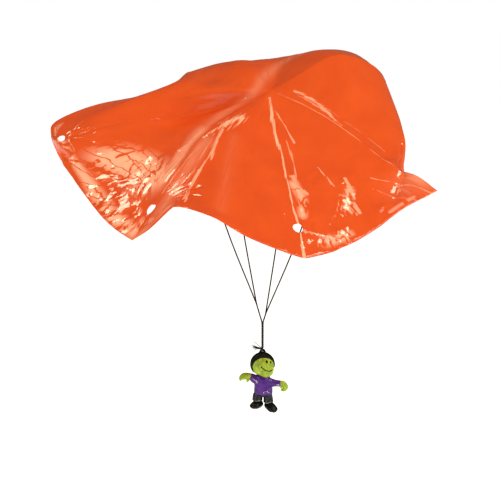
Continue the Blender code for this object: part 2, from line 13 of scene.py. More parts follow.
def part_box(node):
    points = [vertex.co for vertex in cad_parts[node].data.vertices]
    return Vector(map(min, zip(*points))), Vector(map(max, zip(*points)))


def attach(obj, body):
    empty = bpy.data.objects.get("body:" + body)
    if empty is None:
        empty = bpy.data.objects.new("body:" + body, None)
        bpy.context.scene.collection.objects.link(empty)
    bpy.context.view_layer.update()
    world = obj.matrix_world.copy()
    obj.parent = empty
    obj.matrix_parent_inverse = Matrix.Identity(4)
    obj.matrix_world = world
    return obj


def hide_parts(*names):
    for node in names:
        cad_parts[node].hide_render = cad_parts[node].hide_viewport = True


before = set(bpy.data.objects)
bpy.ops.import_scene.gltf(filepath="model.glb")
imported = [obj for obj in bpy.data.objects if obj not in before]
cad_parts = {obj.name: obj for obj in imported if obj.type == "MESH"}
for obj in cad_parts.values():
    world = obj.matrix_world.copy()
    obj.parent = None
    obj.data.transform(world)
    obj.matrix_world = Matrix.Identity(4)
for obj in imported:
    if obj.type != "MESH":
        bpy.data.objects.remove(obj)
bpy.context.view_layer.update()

# The film sheet as it was cut and punched.
SHEET_RADIUS = 0.190
FILM_GAUGE = 0.00012
HOLE_DIAMETER = 0.008
HOLE_TO_RIM = 0.025
HOLE_ANGLES = (-165, -120, -75, -30, 15, 60, 105, 150)

# The open canopy: each spoke's angle, then its inner, middle, hole and rim places as x, y and z in
# shares of the sheet's radius.
RING_SHARES = (0.42, 0.74, 0.87, 1.0)
SPOKE_SHARES = {
    -172.5: ((-0.295, 0.035, -0.05), (-0.67, 0.02, -0.1), (-0.795, 0.065, -0.13), (-0.865, 0.135, -0.135)),
    -165: ((-0.33, 0.03, -0.095), (-0.68, -0.065, -0.155), (-0.82, -0.03, -0.185), (-0.865, 0.075, -0.195)),
    -142.5: ((-0.3, -0.1, -0.13), (-0.485, -0.26, -0.275), (-0.585, -0.285, -0.335), (-0.69, -0.3, -0.405)),
    -127.5: ((-0.26, -0.19, -0.15), (-0.415, -0.39, -0.305), (-0.495, -0.44, -0.395),
             (-0.58, -0.495, -0.495)),
    -120: ((-0.24, -0.23, -0.15), (-0.38, -0.455, -0.32), (-0.445, -0.515, -0.425), (-0.51, -0.58, -0.53)),
    -114.5: ((-0.215, -0.265, -0.155), (-0.335, -0.485, -0.32), (-0.385, -0.56, -0.395),
             (-0.445, -0.63, -0.485)),
    -109: ((-0.19, -0.29, -0.16), (-0.28, -0.51, -0.315), (-0.32, -0.595, -0.365), (-0.355, -0.68, -0.4)),
    -97.5: ((-0.13, -0.32, -0.18), (-0.18, -0.58, -0.33), (-0.2, -0.685, -0.385), (-0.215, -0.79, -0.425)),
    -86: ((-0.05, -0.325, -0.205), (-0.055, -0.59, -0.37), (-0.065, -0.695, -0.44), (-0.07, -0.8, -0.505)),
    -75: ((0.04, -0.32, -0.23), (0.07, -0.58, -0.4), (0.095, -0.68, -0.48), (0.115, -0.78, -0.575)),
    -52.5: ((0.18, -0.255, -0.2), (0.28, -0.46, -0.35), (0.33, -0.515, -0.42), (0.39, -0.57, -0.485)),
    -45: ((0.21, -0.225, -0.175), (0.36, -0.4, -0.32), (0.425, -0.455, -0.375), (0.49, -0.495, -0.42)),
    -37.5: ((0.245, -0.19, -0.145), (0.45, -0.335, -0.275), (0.535, -0.36, -0.3), (0.62, -0.41, -0.36)),
    -30: ((0.27, -0.145, -0.11), (0.495, -0.23, -0.25), (0.515, -0.265, -0.325), (0.57, -0.285, -0.37)),
    -7.5: ((0.32, -0.04, 0), (0.52, 0, -0.15), (0.51, 0.06, -0.23), (0.47, 0.13, -0.32)),
    15: ((0.3, 0.09, 0.14), (0.46, 0.24, -0.01), (0.375, 0.26, -0.14), (0.23, 0.27, -0.3)),
    37.5: ((0.22, 0.22, 0.16), (0.36, 0.46, 0.08), (0.34, 0.505, -0.05), (0.31, 0.54, -0.21)),
    60: ((0.12, 0.34, 0.14), (0.14, 0.59, 0), (0.115, 0.595, -0.155), (0.08, 0.57, -0.33)),
    82.5: ((0.03, 0.41, 0.125), (0, 0.74, 0.03), (-0.02, 0.775, -0.08), (-0.04, 0.78, -0.21)),
    105: ((-0.07, 0.36, 0.115), (-0.13, 0.61, 0), (-0.14, 0.615, -0.145), (-0.15, 0.6, -0.32)),
    127.5: ((-0.15, 0.27, 0.11), (-0.29, 0.54, 0.03), (-0.31, 0.565, -0.085), (-0.32, 0.57, -0.22)),
    150: ((-0.21, 0.145, 0.045), (-0.35, 0.32, 0.03), (-0.33, 0.325, -0.105), (-0.27, 0.32, -0.28)),
    172.5: ((-0.26, 0.04, 0), (-0.44, 0.1, 0.005), (-0.505, 0.16, -0.02), (-0.57, 0.22, -0.04)),
}

# How sharply the sheet is folded along some spokes, from 0, round, to 1, a crisp crease.
FOLD_SHARES = {-165: 0.4, -120: 1.0, -109: 0.7, -97.5: 0.3, -75: 0.6, -37.5: 0.6,
               15: 0.8, 60: 0.8, 105: 0.8, 150: 0.8}

# The film's mesh: its spacing where it is calm and where it is folded, the points round its edges, and
# how far its inner points stay off the rim, the folds and the holes, in shares of that spacing.
CALM_STEP = 0.0023
FINE_STEP = 0.0011
RIM_POINTS = 720
HOLE_POINTS = 32
RIM_ROOM = 0.6
FOLD_ROOM = 0.45
HOLE_ROOM = 0.5
FOLD_REACH = 0.0030
FOLD_START = 0.12

# Its triangles are made in millimetres, and points closer than the tolerance become one.
MESH_SCALE = 1000
MESH_TOLERANCE = 1e-3

# Folds that stay in the film: a path over the flat sheet in angles and shares of its radius, the
# fold's height and width, then how pale its crest is, worn pale and painted with a highlight, and the half
# width of that pale line.
CREASES = (
    (((-84, 0.06), (-78, 0.25), (-75, 0.49), (-74.5, 0.70), (-75, 1.0)), 0.0013, 0.0028, 1.0, 0.0013),
    (((-79, 0.12), (-73, 0.45), (-71, 0.80)), -0.0006, 0.0018, 0.0, 0.0005),
    (((-75, 0.15), (-68, 0.26), (-66, 0.36)), 0.0004, 0.0013, 0.7, 0.0007),
    (((-71, 0.30), (-70, 0.55), (-72, 0.78)), 0.0005, 0.0015, 0.6, 0.0009),
    (((-12, 0.13), (-25, 0.27), (-32, 0.40)), 0.0006, 0.0016, 0.9, 0.0014),
    (((-24, 0.20), (-30, 0.34), (-33, 0.44)), 0.0003, 0.0012, 0.7, 0.0008),
    (((-30, 0.05), (-34, 0.40), (-37, 0.75), (-38, 0.86)), 0.0012, 0.0030, 0.45, 0.0005),
    (((-22, 0.16), (-28, 0.40), (-33, 0.66)), -0.0006, 0.0018, 0.3, 0.0004),
    (((-92, 0.08), (-90, 0.50), (-91, 0.85)), -0.0008, 0.0030, 0.0, 0.0005),
    (((-119, 0.46), (-115.5, 0.385), (-112, 0.305)), 0.0010, 0.0020, 1.0, 0.0016),
    (((-113, 0.340), (-111, 0.30), (-107, 0.265)), 0.0012, 0.0024, 1.0, 0.0062),
    (((-111, 0.38), (-108, 0.54), (-109.5, 0.72), (-107, 0.93)), 0.0008, 0.0022, 0.8, 0.0024),
    (((-114, 0.42), (-112, 0.60), (-112, 0.80)), 0.0004, 0.0014, 0.5, 0.0009),
    (((-117, 0.46), (-118, 0.62), (-119, 0.80)), 0.0005, 0.0016, 0.5, 0.0011),
    (((-124, 0.46), (-129, 0.56), (-133, 0.66)), 0.0004, 0.0014, 0.4, 0.0011),
    (((-165, 0.45), (-167, 0.70), (-165, 0.86)), -0.0008, 0.0022, 0.0, 0.0005),
    (((-172, 0.80), (-164, 0.835), (-158, 0.86), (-154, 0.95)), 0.0010, 0.0020, 0.4, 0.0006),
    (((-16, 0.70), (-28, 0.755), (-38, 0.83), (-46, 0.95)), -0.0035, 0.0050, 0.0, 0.0005),
    (((-30, 0.79), (-33, 0.88), (-34, 0.98)), 0.0004, 0.0012, 0.7, 0.0005),
    (((-34, 0.80), (-36, 0.88), (-37, 0.98)), 0.0005, 0.0014, 0.8, 0.0006),
    (((-44, 0.74), (-41, 0.86), (-39, 1.0)), 0.0006, 0.0016, 0.6, 0.0005),
    (((-46, 0.80), (-44, 0.90), (-42, 1.0)), 0.0005, 0.0016, 0.4, 0.0005),
    (((-51, 0.68), (-52, 0.78), (-54, 0.89)), 0.0006, 0.0016, 0.8, 0.0016),
    (((-72, 0.57), (-70, 0.65), (-67, 0.70)), 0.0005, 0.0016, 0.8, 0.0018),
    (((-59, 0.55), (-58, 0.60), (-56, 0.70)), 0.0004, 0.0014, 0.7, 0.0010),
    (((-74, 0.88), (-69, 0.915), (-64, 0.95)), 0.0005, 0.0016, 0.6, 0.0012),
)

# Painted sheen where the film catches the light, in fine streaks: the way over the sheet, how far it reaches
# and how strongly.
PAINTED_SHEENS = (
    (((-129, 0.42), (-135, 0.27), (-155, 0.15), (-200, 0.09), (-262, 0.16), (-283, 0.26), (-305, 0.36)),
     0.0070, 0.42),
    (((-124, 0.76), (-125, 0.65), (-126, 0.56), (-128, 0.47), (-129, 0.42)), 0.0085, 0.95),
    (((-115, 0.90), (-115, 0.70), (-115.5, 0.48)), 0.0070, 0.50),
    (((-119, 1.00), (-115, 0.965), (-112, 0.93)), 0.0045, 0.60),
    (((-24, 0.86), (-31, 0.88), (-38, 0.90)), 0.0140, 0.50),
    (((-100, 0.40), (-97, 0.70), (-96, 0.90)), 0.0060, 0.10),
)

# Painted highlights on crumpled film, as pale facets between dark veins, in the same way.
PAINTED_GLINT_PATCHES = (
    (((-150, 0.78), (-138, 0.76), (-130, 0.76)), 0.0200, 1.00),
    (((-163, 0.88), (-152, 0.935), (-143, 0.96), (-132, 0.97), (-121, 0.97)), 0.0062, 0.90),
    (((-121, 0.92), (-116, 0.94)), 0.0040, 0.60),
    (((-172, 0.93), (-165, 0.94), (-160, 0.88)), 0.0050, 0.70),
    (((-71, 0.93), (-66, 0.95), (-60, 0.96)), 0.0055, 0.90),
    (((-56, 0.86), (-52, 0.75)), 0.0050, 0.80),
    (((-72, 0.62), (-70, 0.72), (-72, 0.80)), 0.0055, 0.80),
    (((-48, 0.97), (-42, 0.97)), 0.0030, 0.60),
)

# From how many half widths on a pale crest is out of reach.
CREASE_CAP = 6.0

# Where the film is crumpled: the angle and share of a spot, how far it reaches, and how strongly.
CRUMPLES = (
    (-138, 0.80, 0.034, 0.60), (-150, 0.84, 0.026, 0.75), (-127, 0.58, 0.022, 0.70),
    (-140, 0.97, 0.026, 1.00), (-155, 0.98, 0.022, 0.90), (-124, 0.95, 0.018, 0.80),
    (-168, 0.95, 0.012, 1.00), (-70, 0.88, 0.018, 0.80), (-64, 0.94, 0.018, 1.00),
    (-57, 0.82, 0.016, 0.90), (-51, 0.70, 0.014, 0.60), (-62, 0.62, 0.014, 0.50),
    (-108, 0.80, 0.014, 0.70), (-36, 0.70, 0.012, 0.60), (-49, 0.94, 0.012, 0.80),
)

# How crumpled the rest of the film is, how far from a hole it is calm, and what needs the fine mesh.
CRUMPLE_REST = 0.10
HOLE_CALM = 0.009
CRUMPLE_FINE = 0.30

# The crumpled facets: how wide and high the largest are, then each layer's fineness, its share of the
# height and where its two patterns start. The relief is the finer one that the material adds.
FACET_SIZE = 0.017
FACET_HEIGHT = 0.0024
FACET_LAYERS = ((1.0, 1.0, ((3.1, 7.7), (26.6, -15.8))), (2.3, 0.42, ((11.3, 2.9), (34.8, -20.6))))
RELIEF_SIZE = 0.0095
RELIEF_SHIFTS = ((0.0, 0.0), (0.41, 0.287))

# Pulls that fan out of a hole: its angle, their lean from the crown's side, spread, reach and number.
HOLE_PULLS = (
    (-120, 40, 90, 0.055, 9), (-75, 0, 70, 0.030, 5), (-165, 0, 90, 0.026, 5), (-30, 0, 60, 0.030, 5),
    (15, 0, 70, 0.040, 7), (60, 0, 70, 0.040, 7), (105, 0, 70, 0.040, 7), (150, 0, 70, 0.040, 7),
)
PULL_HEIGHT = 0.0008
PULL_WIDTH = 0.0016
PULL_SEED = 7

# The threads, as part.py has them.
LINE_ANGLES = (150, 105, 60, 15)
THREAD_DIAMETER = 0.0010
TRUNK_DIAMETER = 0.0016
LOOP_DIAMETER = 0.0008
TAIL_DIAMETER = 0.0006
TAIL_REACH = 0.0085
GAP = 0.0003
KNOT_SHARE = 0.9

# Each line bows outwards a little, meets its neighbour above the gather, at a place across and up from
# it, and runs on beside that neighbour.
LINE_BOW = 0.0022
LINE_POINTS = 10
MEETINGS = ((-0.0046, 0.0146), (0.0023, 0.0068))
SIDE_BY_SIDE = 0.00042
MEETING_BEND = 0.0015

# The gather's wraps, their core, and how far the trunk reaches into the gather and the lower knot.
GATHER_WRAP = 0.00100
GATHER_THREAD = 0.0004
GATHER_TURNS = 4
GATHER_HEIGHT = 0.0015
CORE_REACH = 0.0012
TRUNK_INTO_GATHER = 0.0014
TRUNK_INTO_KNOT = 0.0012

# Where each loose end points, in shares of its reach, how frayed it is, and its fibres.
TAIL_SHARES = ((-0.78, 0.10, 0.62), (-0.98, -0.40, 0.30), (-1.02, 0.40, 0.12), (-0.84, -0.05, 0.02))
TAIL_FRAYS = (0.0, 0.0011, 0.0013, 0.0010)
TAIL_DROP = 0.0009
TAIL_POINTS = 12
FIBRES = 9
FIBRE_DIAMETER = 0.0003

# The plies of a thread: how many, their width and the length of a turn in shares of the thread's, and
# how much fuller they are than their place in the twist.
PLIES = 3
PLY_SHARE = 0.5
PITCH_SHARE = 4.5
PLY_SWELL = 1.4

# The figure, in millimetres from the middle of its head, before it is brought to the frame's metres.
MM = 0.001
FACE_RADIUS = 9.0
HAIR_RADIUS = 9.6
JAW = ((2.6, -3.0, -3.6), 6.3)

# The way the face looks, and the hairline round the back of it: bearing, then degrees from the back.
FACE_WAY = (0.155, -0.936, -0.316)
HAIRLINE = ((-180, 62), (-150, 80), (-130, 102), (-112, 112), (-90, 114), (-45, 117), (0, 121), (45, 117),
            (90, 108), (118, 93), (150, 70), (180, 62), (210, 80))

# The painted eyes, each with its place as x and z and its half width and height, and the mouth.
EYES = {"left": (3.26, 3.05, 1.0, 1.16), "right": (6.3, 2.4, 0.8, 1.0)}
MOUTH = ((-1.3, -1.4), (-0.2, -1.5), (0.9, -2.4), (2.1, -3.25), (3.7, -3.85), (5.3, -4.15), (6.7, -3.7),
         (7.5, -2.9))
MOUTH_TICK = ((-0.75, -0.4), (-0.85, -1.0), (-1.2, -1.7))
MOUTH_POINTS = 20
GROOVE_DEPTH = 0.34
GROOVE_WIDTH = 0.50

# Each limb: its middle line as x, y and z, then its half height and half depth.
TORSO = (((0.45, 0.0, -23.5), 7.25, 4.9), ((0.62, 0.0, -20.5), 7.25, 4.9), ((0.55, 0.0, -16.5), 7.0, 4.8),
         ((0.0, 0.0, -13.5), 6.8, 4.6), ((-0.5, 0.0, -11.0), 6.4, 4.3), ((-0.8, 0.0, -9.0), 5.2, 3.6),
         ((-0.9, 0.0, -7.9), 3.6, 2.6))
SLEEVES = {
    "left": (((-3.5, 0.0, -12.6), 4.1, 3.9), ((-6.5, 0.0, -11.3), 3.5, 3.4), ((-8.2, -0.2, -10.2), 2.95, 2.9),
             ((-9.5, -0.3, -9.65), 2.7, 2.6)),
    "right": (((4.0, 0.0, -13.9), 3.9, 3.8), ((7.3, 0.0, -14.6), 3.3, 3.2), ((10.5, -0.2, -15.0), 2.7, 2.8),
              ((13.8, -0.3, -15.2), 2.5, 2.5)),
}
ARMS = {
    "left": (((-8.6, -0.3, -9.8), 2.3, 2.1), ((-10.2, -0.3, -9.5), 2.6, 2.2), ((-12.3, -0.4, -9.3), 2.7, 2.2),
             ((-14.2, -0.6, -9.4), 2.75, 2.1), ((-15.9, -0.9, -10.3), 2.35, 1.9),
             ((-16.9, -1.2, -11.4), 1.6, 1.6), ((-17.2, -1.4, -12.3), 0.9, 1.0)),
    "right": (((13.2, -0.3, -15.1), 2.1, 2.0), ((14.8, -0.3, -15.2), 2.4, 2.1),
              ((16.4, -0.5, -16.1), 2.6, 2.1), ((17.4, -0.8, -17.7), 2.5, 2.0),
              ((17.2, -1.1, -19.1), 2.1, 1.8), ((16.3, -1.3, -19.9), 1.5, 1.5),
              ((15.3, -1.4, -20.0), 1.1, 1.1)),
}
THUMBS = {
    "left": (((-10.3, -1.0, -10.4), 1.5, 1.3), ((-11.0, -1.5, -11.8), 1.3, 1.2),
             ((-11.7, -1.8, -12.9), 1.0, 1.0)),
    "right": (((15.2, -1.0, -16.2), 1.3, 1.2), ((14.8, -1.6, -17.1), 1.1, 1.0),
              ((14.5, -1.9, -18.0), 0.9, 0.9)),
}
LEGS = {
    "left": (((-3.1, 0.0, -22.0), 3.2, 3.4), ((-3.75, 0.0, -24.6), 3.85, 3.7),
             ((-3.9, -0.1, -26.6), 3.95, 3.8), ((-4.0, -0.2, -27.9), 4.05, 3.9),
             ((-4.0, -0.2, -28.5), 3.6, 3.5)),
    "right": (((4.0, 0.0, -22.4), 3.4, 3.6), ((4.25, 0.0, -25.5), 3.65, 3.7), ((4.5, -0.1, -28.0), 3.8, 3.8),
              ((4.6, -0.2, -29.5), 3.9, 3.9), ((4.6, -0.2, -30.1), 3.5, 3.5)),
}
HIPS = (((-2.6, 0.0, -22.6), 2.6, 3.3), ((0.4, 0.0, -22.9), 2.9, 3.4), ((3.4, 0.0, -23.3), 2.6, 3.3))

# The shoe, along its length from heel to toe: how far forward, its half width and its height.
SHOE = ((-4.9, 0.8, 2.0), (-4.6, 2.0, 3.6), (-4.0, 2.8, 5.2), (-2.8, 3.35, 6.8), (-0.8, 3.65, 7.2),
        (1.2, 3.95, 6.8), (3.0, 4.2, 6.1), (4.6, 4.1, 5.3), (5.8, 3.4, 4.3), (6.5, 2.2, 3.2),
        (6.85, 0.9, 2.0))
SOLE_DEPTH = 1.1
WELT = 0.3
SHOE_PLACES = {"left": ((-4.0, 0.2, -35.0), -32, 0), "right": ((5.5, 0.2, -36.6), 32, 12)}

# The moulded eyelet over the hair: the way of its bail, its half width and its half depth.
BAIL = (((-2.1, 0.0, 8.6), 1.0, 1.1), ((-1.5, 0.0, 10.0), 0.95, 1.0), ((-1.05, 0.0, 11.0), 0.8, 0.9),
        ((0.0, 0.0, 11.5), 0.75, 0.9), ((1.05, 0.0, 11.0), 0.8, 0.9), ((1.5, 0.0, 10.0), 0.95, 1.0),
        ((2.1, 0.0, 8.6), 1.0, 1.1))
BAIL_FOOT = ((0.0, 0.0, 8.7), 2.7, (1.0, 0.7, 0.42))

# Moulded folds on the front of the clothes: a path as x and z, its height and its width.
SHIRT_FOLDS = (
    (((-8.4, -10.6), (-6.6, -11.3), (-5.0, -12.4), (-4.2, -13.8), (-4.8, -15.0)), 0.70, 0.48),
    (((-8.8, -12.0), (-7.3, -12.8), (-6.2, -14.4)), -0.30, 0.45),
    (((0.2, -22.8), (0.9, -21.4), (2.4, -20.7), (4.2, -21.2), (6.0, -22.9)), 0.75, 0.48),
    (((10.0, -15.4), (11.8, -15.7), (13.4, -16.4)), 0.50, 0.40),
    (((8.6, -17.2), (10.6, -17.0), (12.6, -17.3)), 0.25, 0.40),
    (((-6.2, -15.6), (-3.6, -17.4), (-1.2, -18.0)), 0.18, 0.70),
    (((7.4, -17.4), (4.6, -18.4), (2.4, -18.4)), 0.18, 0.70),
    (((-4.5, -9.6), (-1.5, -11.6), (2.0, -11.9), (4.6, -11.0)), 0.10, 0.60),
    (((-5.8, -19.0), (-4.6, -20.6), (-4.4, -22.4)), 0.18, 0.60),
)
TROUSER_FOLDS = (
    (((-6.4, -26.6), (-3.6, -27.4), (-0.8, -26.7)), 0.24, 0.40),
    (((-6.6, -28.0), (-4.6, -28.5), (-2.4, -27.9), (-0.8, -28.3)), 0.26, 0.25),
    (((1.4, -28.0), (4.2, -28.9), (7.0, -28.2)), 0.24, 0.40),
    (((1.2, -29.6), (3.6, -30.0), (5.6, -29.4), (7.2, -29.8)), 0.26, 0.25),
    (((-1.2, -23.4), (-2.6, -24.8), (-2.8, -26.2)), 0.20, 0.50),
    (((2.0, -24.0), (3.4, -25.4), (3.6, -27.0)), 0.20, 0.50),
)

# Folds from this height on are lacquered thickly.
LACQUERED_FOLD = 0.25

# The film's pigment, the pale tone of its painted highlights, painted sheen and worn crests and the most of
# it, the hole that the veins fan out of, and how much light comes through.
FILM_COLOUR = "#E86328"
FILM_DEEP = "#E35D25"
PALE_HIGHLIGHT_AND_WEAR_COLOUR = "#FFCDA8"
PALE_MOST = 0.86
VEIN_ANGLE = -120
SHINES_THROUGH = 0.36

# The warm white of the lights that gleam on the film, and the tint and strength of the room's light.
GLEAM_COLOUR = (1.0, 0.92, 0.68)
ROOM_COLOUR = (1.0, 0.8, 0.5, 1.0)
WALL_LIGHT = 0.24
CEILING_LIGHT = 0.16

# The camera that took the photograph, and how far under the crown the light table lies.
CAMERA_PLACE = (-0.015, -1.4918, 0.0378)
CAMERA_TILT = math.radians(84)
CAMERA_LENS = 144.0
SENSOR = 36.0
FLOOR_DROP = 0.42


def linear(hex_colour):
    """An sRGB hex colour as linear red, green, blue and alpha."""
    parts = [int(hex_colour[place:place + 2], 16) / 255 for place in (1, 3, 5)]
    return (*[part / 12.92 if part <= 0.04045 else ((part + 0.055) / 1.055) ** 2.4 for part in parts], 1.0)


def feed(tree, node, inputs):
    """Sets or links a node's inputs, where another node stands for its first output."""
    for key, value in inputs.items():
        if isinstance(value, bpy.types.Node):
            value = value.outputs[0]
        if isinstance(value, bpy.types.NodeSocket):
            tree.links.new(value, node.inputs[key])
        else:
            node.inputs[key].default_value = value
    return node


def add_node(tree, kind, inputs=None, **settings):
    """Adds a node of a kind with its settings, and its inputs by name or number."""
    node = tree.nodes.new(kind)
    for key, value in settings.items():
        setattr(node, key, value)
    return feed(tree, node, inputs or {})


def maths(tree, operation, first, second=0.5, **settings):
    """One step of arithmetic on values."""
    return add_node(tree, "ShaderNodeMath", {0: first, 1: second}, operation=operation, **settings)


def vectors(tree, operation, *values):
    """One step of arithmetic on vectors."""
    return add_node(tree, "ShaderNodeVectorMath", dict(enumerate(values)), operation=operation)


def scaled(tree, vector, factor):
    """A vector times a value."""
    return add_node(tree, "ShaderNodeVectorMath", {0: vector, "Scale": factor}, operation="SCALE")


def remap(tree, value, low, high, start=0.0, end=1.0):
    """A value that runs from start to end while the given one runs from low to high."""
    return add_node(tree, "ShaderNodeMapRange", {0: value, 1: low, 2: high, 3: start, 4: end})


def noise(tree, place, scale, detail, distortion=0.0):
    """Soft noise, as fine as its scale and detail say."""
    return add_node(tree, "ShaderNodeTexNoise",
                    {"Vector": place, "Scale": scale, "Detail": detail, "Distortion": distortion})


def blend(tree, share, first, second):
    """A colour between two others."""
    mixed = add_node(tree, "ShaderNodeMix", {"Factor": share, 6: first, 7: second}, data_type="RGBA")
    return mixed.outputs[2]


def cells(tree, place, **settings):
    """How deep each place is inside its cell of an uneven flat pattern."""
    return add_node(tree, "ShaderNodeTexVoronoi", {"Vector": place, "Scale": 1.0}, voronoi_dimensions="2D",
                    **settings)


def facet_pattern(tree, place, finer, shifts):
    """Flat facets with sharp edges between them, from the difference of two shifted cell patterns."""
    squares = []
    for across, along in shifts:
        moved = vectors(tree, "MULTIPLY_ADD", place, (finer,) * 3, (across, along, 0))
        squares.append(maths(tree, "POWER", cells(tree, moved), 2.0))
    return maths(tree, "SUBTRACT", *squares)


def slopes_through(knots, values, sharp):
    """The slopes before and after each knot of a curve, which is smooth where sharp is 0."""
    shape = (-1,) + (1,) * (values.ndim - 1)
    steps = np.diff(knots).reshape(shape)
    rises = np.diff(values, axis=0) / steps
    before = np.concatenate([rises[:1], rises])
    after = np.concatenate([rises, rises[-1:]])
    into = np.concatenate([steps[:1], steps])
    out = np.concatenate([steps, steps[-1:]])
    smooth = (before * out + after * into) / (into + out)
    sharp = np.reshape(sharp, shape) if np.ndim(sharp) else sharp
    return smooth + (before - smooth) * sharp, smooth + (after - smooth) * sharp


def curve_values(knots, values, places, sharp=0.0, rows=None):
    """Reads the curve through the knots at the places; with rows, each place has its own column of values."""
    before, after = slopes_through(knots, values, sharp)
    index = np.clip(np.searchsorted(knots, places, side="right") - 1, 0, len(knots) - 2)

    def pick(table, at):
        """The table's rows at some knots."""
        return table[at] if rows is None else table[at, rows]

    low, high = pick(values, index), pick(values, index + 1)
    shape = (-1,) + (1,) * (low.ndim - 1)
    span = (knots[index + 1] - knots[index]).reshape(shape)
    u = (places - knots[index]).reshape(shape) / span
    start = (2 * u ** 3 - 3 * u ** 2 + 1) * low + (u ** 3 - 2 * u ** 2 + u) * span * pick(after, index)
    end = (3 * u ** 2 - 2 * u ** 3) * high + (u ** 3 - u ** 2) * span * pick(before, index + 1)
    return start + end


def smooth_path(places, count):
    """A smooth open path of that many points through the places."""
    places = np.array([tuple(place) for place in places])
    return curve_values(np.arange(len(places), dtype=float), places, np.linspace(0, len(places) - 1, count))


def evenly(path, step):
    """A flat path's points again, evenly spaced."""
    along = np.concatenate([[0.0], np.cumsum(np.hypot(*np.diff(path, axis=0).T))])
    places = np.linspace(0.0, along[-1], max(2, round(along[-1] / step) + 1))
    return np.stack([np.interp(places, along, path[:, side]) for side in (0, 1)], axis=1)


def heading(bearing, reach=1.0):
    """The flat point at a bearing, in radians, and a reach."""
    return reach * np.array([math.cos(bearing), math.sin(bearing)])


def hole_centre(angle):
    """The middle of the punched hole at an angle of the flat sheet."""
    return heading(math.radians(angle), SHEET_RADIUS - HOLE_TO_RIM)


def away_from(flat, centre):
    """How far each flat point is from a centre."""
    return np.hypot(*(flat - centre).T)


def spoke_places(angles):
    """The inner, middle, hole and rim places at each angle of the sheet."""
    keys = np.array(sorted(SPOKE_SHARES), float)
    table = np.array([SPOKE_SHARES[key] for key in keys]) * SHEET_RADIUS
    knots = np.concatenate([[keys[-1] - 360.0], keys, keys[:2] + 360.0])
    values = np.concatenate([table[-1:], table, table[:2]])
    sharp = [FOLD_SHARES.get(key, 0.0) for key in keys]
    turned = (np.asarray(angles, float) - knots[1]) % 360.0 + knots[1]
    return curve_values(knots, values, turned, sharp[-1:] + sharp + sharp[:2])


def open_places(angles, shares):
    """Where each point of the flat sheet, at its angle and share of the radius, lies in the air."""
    near = spoke_places(angles)
    far = spoke_places(np.asarray(angles) + 180.0)
    knots = np.array((-RING_SHARES[0], 0.0) + RING_SHARES)
    crown = np.zeros((len(near), 3))
    values = np.stack([far[:, 0], crown] + [near[:, ring] for ring in range(len(RING_SHARES))])
    return curve_values(knots, values, shares, rows=np.arange(len(near)))


def ring_points(centre, radius, count):
    """Points evenly spaced round a flat circle."""
    turns = np.linspace(0.0, 2 * math.pi, count, endpoint=False)
    return np.stack([centre[0] + radius * np.cos(turns), centre[1] + radius * np.sin(turns)], axis=1)


def lattice(step):
    """Points of a triangular grid over the sheet."""
    rows = np.arange(-SHEET_RADIUS, SHEET_RADIUS, step * math.sqrt(3) / 2)
    columns = np.arange(-SHEET_RADIUS, SHEET_RADIUS, step)
    across, along = np.meshgrid(columns, rows)
    across = across + step / 2 * (np.arange(len(rows)) % 2)[:, None]
    return np.stack([across.ravel(), along.ravel()], axis=1)


def nearest(places, others):
    """For each flat place, which of the others is the nearest and how far away it is."""
    tree = KDTree(len(others))
    for number, (x, y) in enumerate(others):
        tree.insert((x, y, 0.0), number)
    tree.balance()
    return np.array([tree.find((x, y, 0.0))[1:] for x, y in places]).T


def join(runs, closed, start=0):
    """The edges along each run of points, which are numbered one run after the other."""
    edges = []
    for run in runs:
        end = start + len(run)
        edges += [(number, number + 1) for number in range(start, end - 1)]
        if closed:
            edges.append((end - 1, start))
        start = end
    return edges


def flat_sheet(paths):
    """The punched round sheet lying flat, as points and triangles, with edges along its folds."""
    centres = [hole_centre(angle) for angle in HOLE_ANGLES]
    rings = [ring_points((0, 0), SHEET_RADIUS, RIM_POINTS)]
    rings += [ring_points(centre, HOLE_DIAMETER / 2, HOLE_POINTS) for centre in centres]
    lines = [evenly(path, FINE_STEP) for path in paths]
    fills = []
    for step, fine in ((CALM_STEP, False), (FINE_STEP, True)):
        fill = lattice(step)
        away = nearest(fill, np.concatenate(lines))[1]
        busy = (away < FOLD_REACH) | (crumple_strength(fill) > CRUMPLE_FINE)
        keep = away_from(fill, (0, 0)) < SHEET_RADIUS - step * RIM_ROOM
        fills.append(fill[keep & (busy == fine) & (away > FINE_STEP * FOLD_ROOM)])
    fill = np.concatenate(fills)
    for centre in centres:
        fill = fill[away_from(fill, centre) > HOLE_DIAMETER / 2 + FINE_STEP * HOLE_ROOM]
    edges = join(rings, True) + join(lines, False, sum(len(ring) for ring in rings))
    points = np.concatenate(rings + lines + [fill]) * MESH_SCALE
    made = delaunay_2d_cdt([Vector(point) for point in points], edges, [], 0, MESH_TOLERANCE)
    flat = np.array([vert[:] for vert in made[0]]) / MESH_SCALE
    faces = np.array([face for face in made[2] if len(face) == 3])
    middle = flat[faces].mean(axis=1)
    whole = away_from(middle, (0, 0)) < SHEET_RADIUS
    for centre in centres:
        whole &= away_from(middle, centre) > HOLE_DIAMETER / 2
    return flat, faces[whole]


def flat_path(places):
    """A path of angles and shares as points on the flat sheet, joined by a smooth curve."""
    angles, shares = np.array(places, float).T
    bearings, reaches = np.radians(angles), shares * SHEET_RADIUS
    points = np.stack([reaches * np.cos(bearings), reaches * np.sin(bearings)], axis=1)
    return smooth_path(points, 8 * (len(points) - 1) + 1)


def nearest_on(flat, path):
    """How far each point of the sheet is from a path, and how near that place is to the path's ends."""
    spans = np.diff(path, axis=0)
    lengths = np.hypot(*spans.T)
    along = np.concatenate([[0.0], np.cumsum(lengths)])
    least = np.full(len(flat), 1e9)
    place = np.zeros(len(flat))
    for start, span, length, begin in zip(path, spans, lengths, along):
        share = np.clip(((flat - start) @ span) / length ** 2, 0.0, 1.0)
        away = away_from(flat - start, share[:, None] * span)
        closer = away < least
        least = np.where(closer, away, least)
        place = np.where(closer, begin + share * length, place)
    return least, np.minimum(place, along[-1] - place) / along[-1]


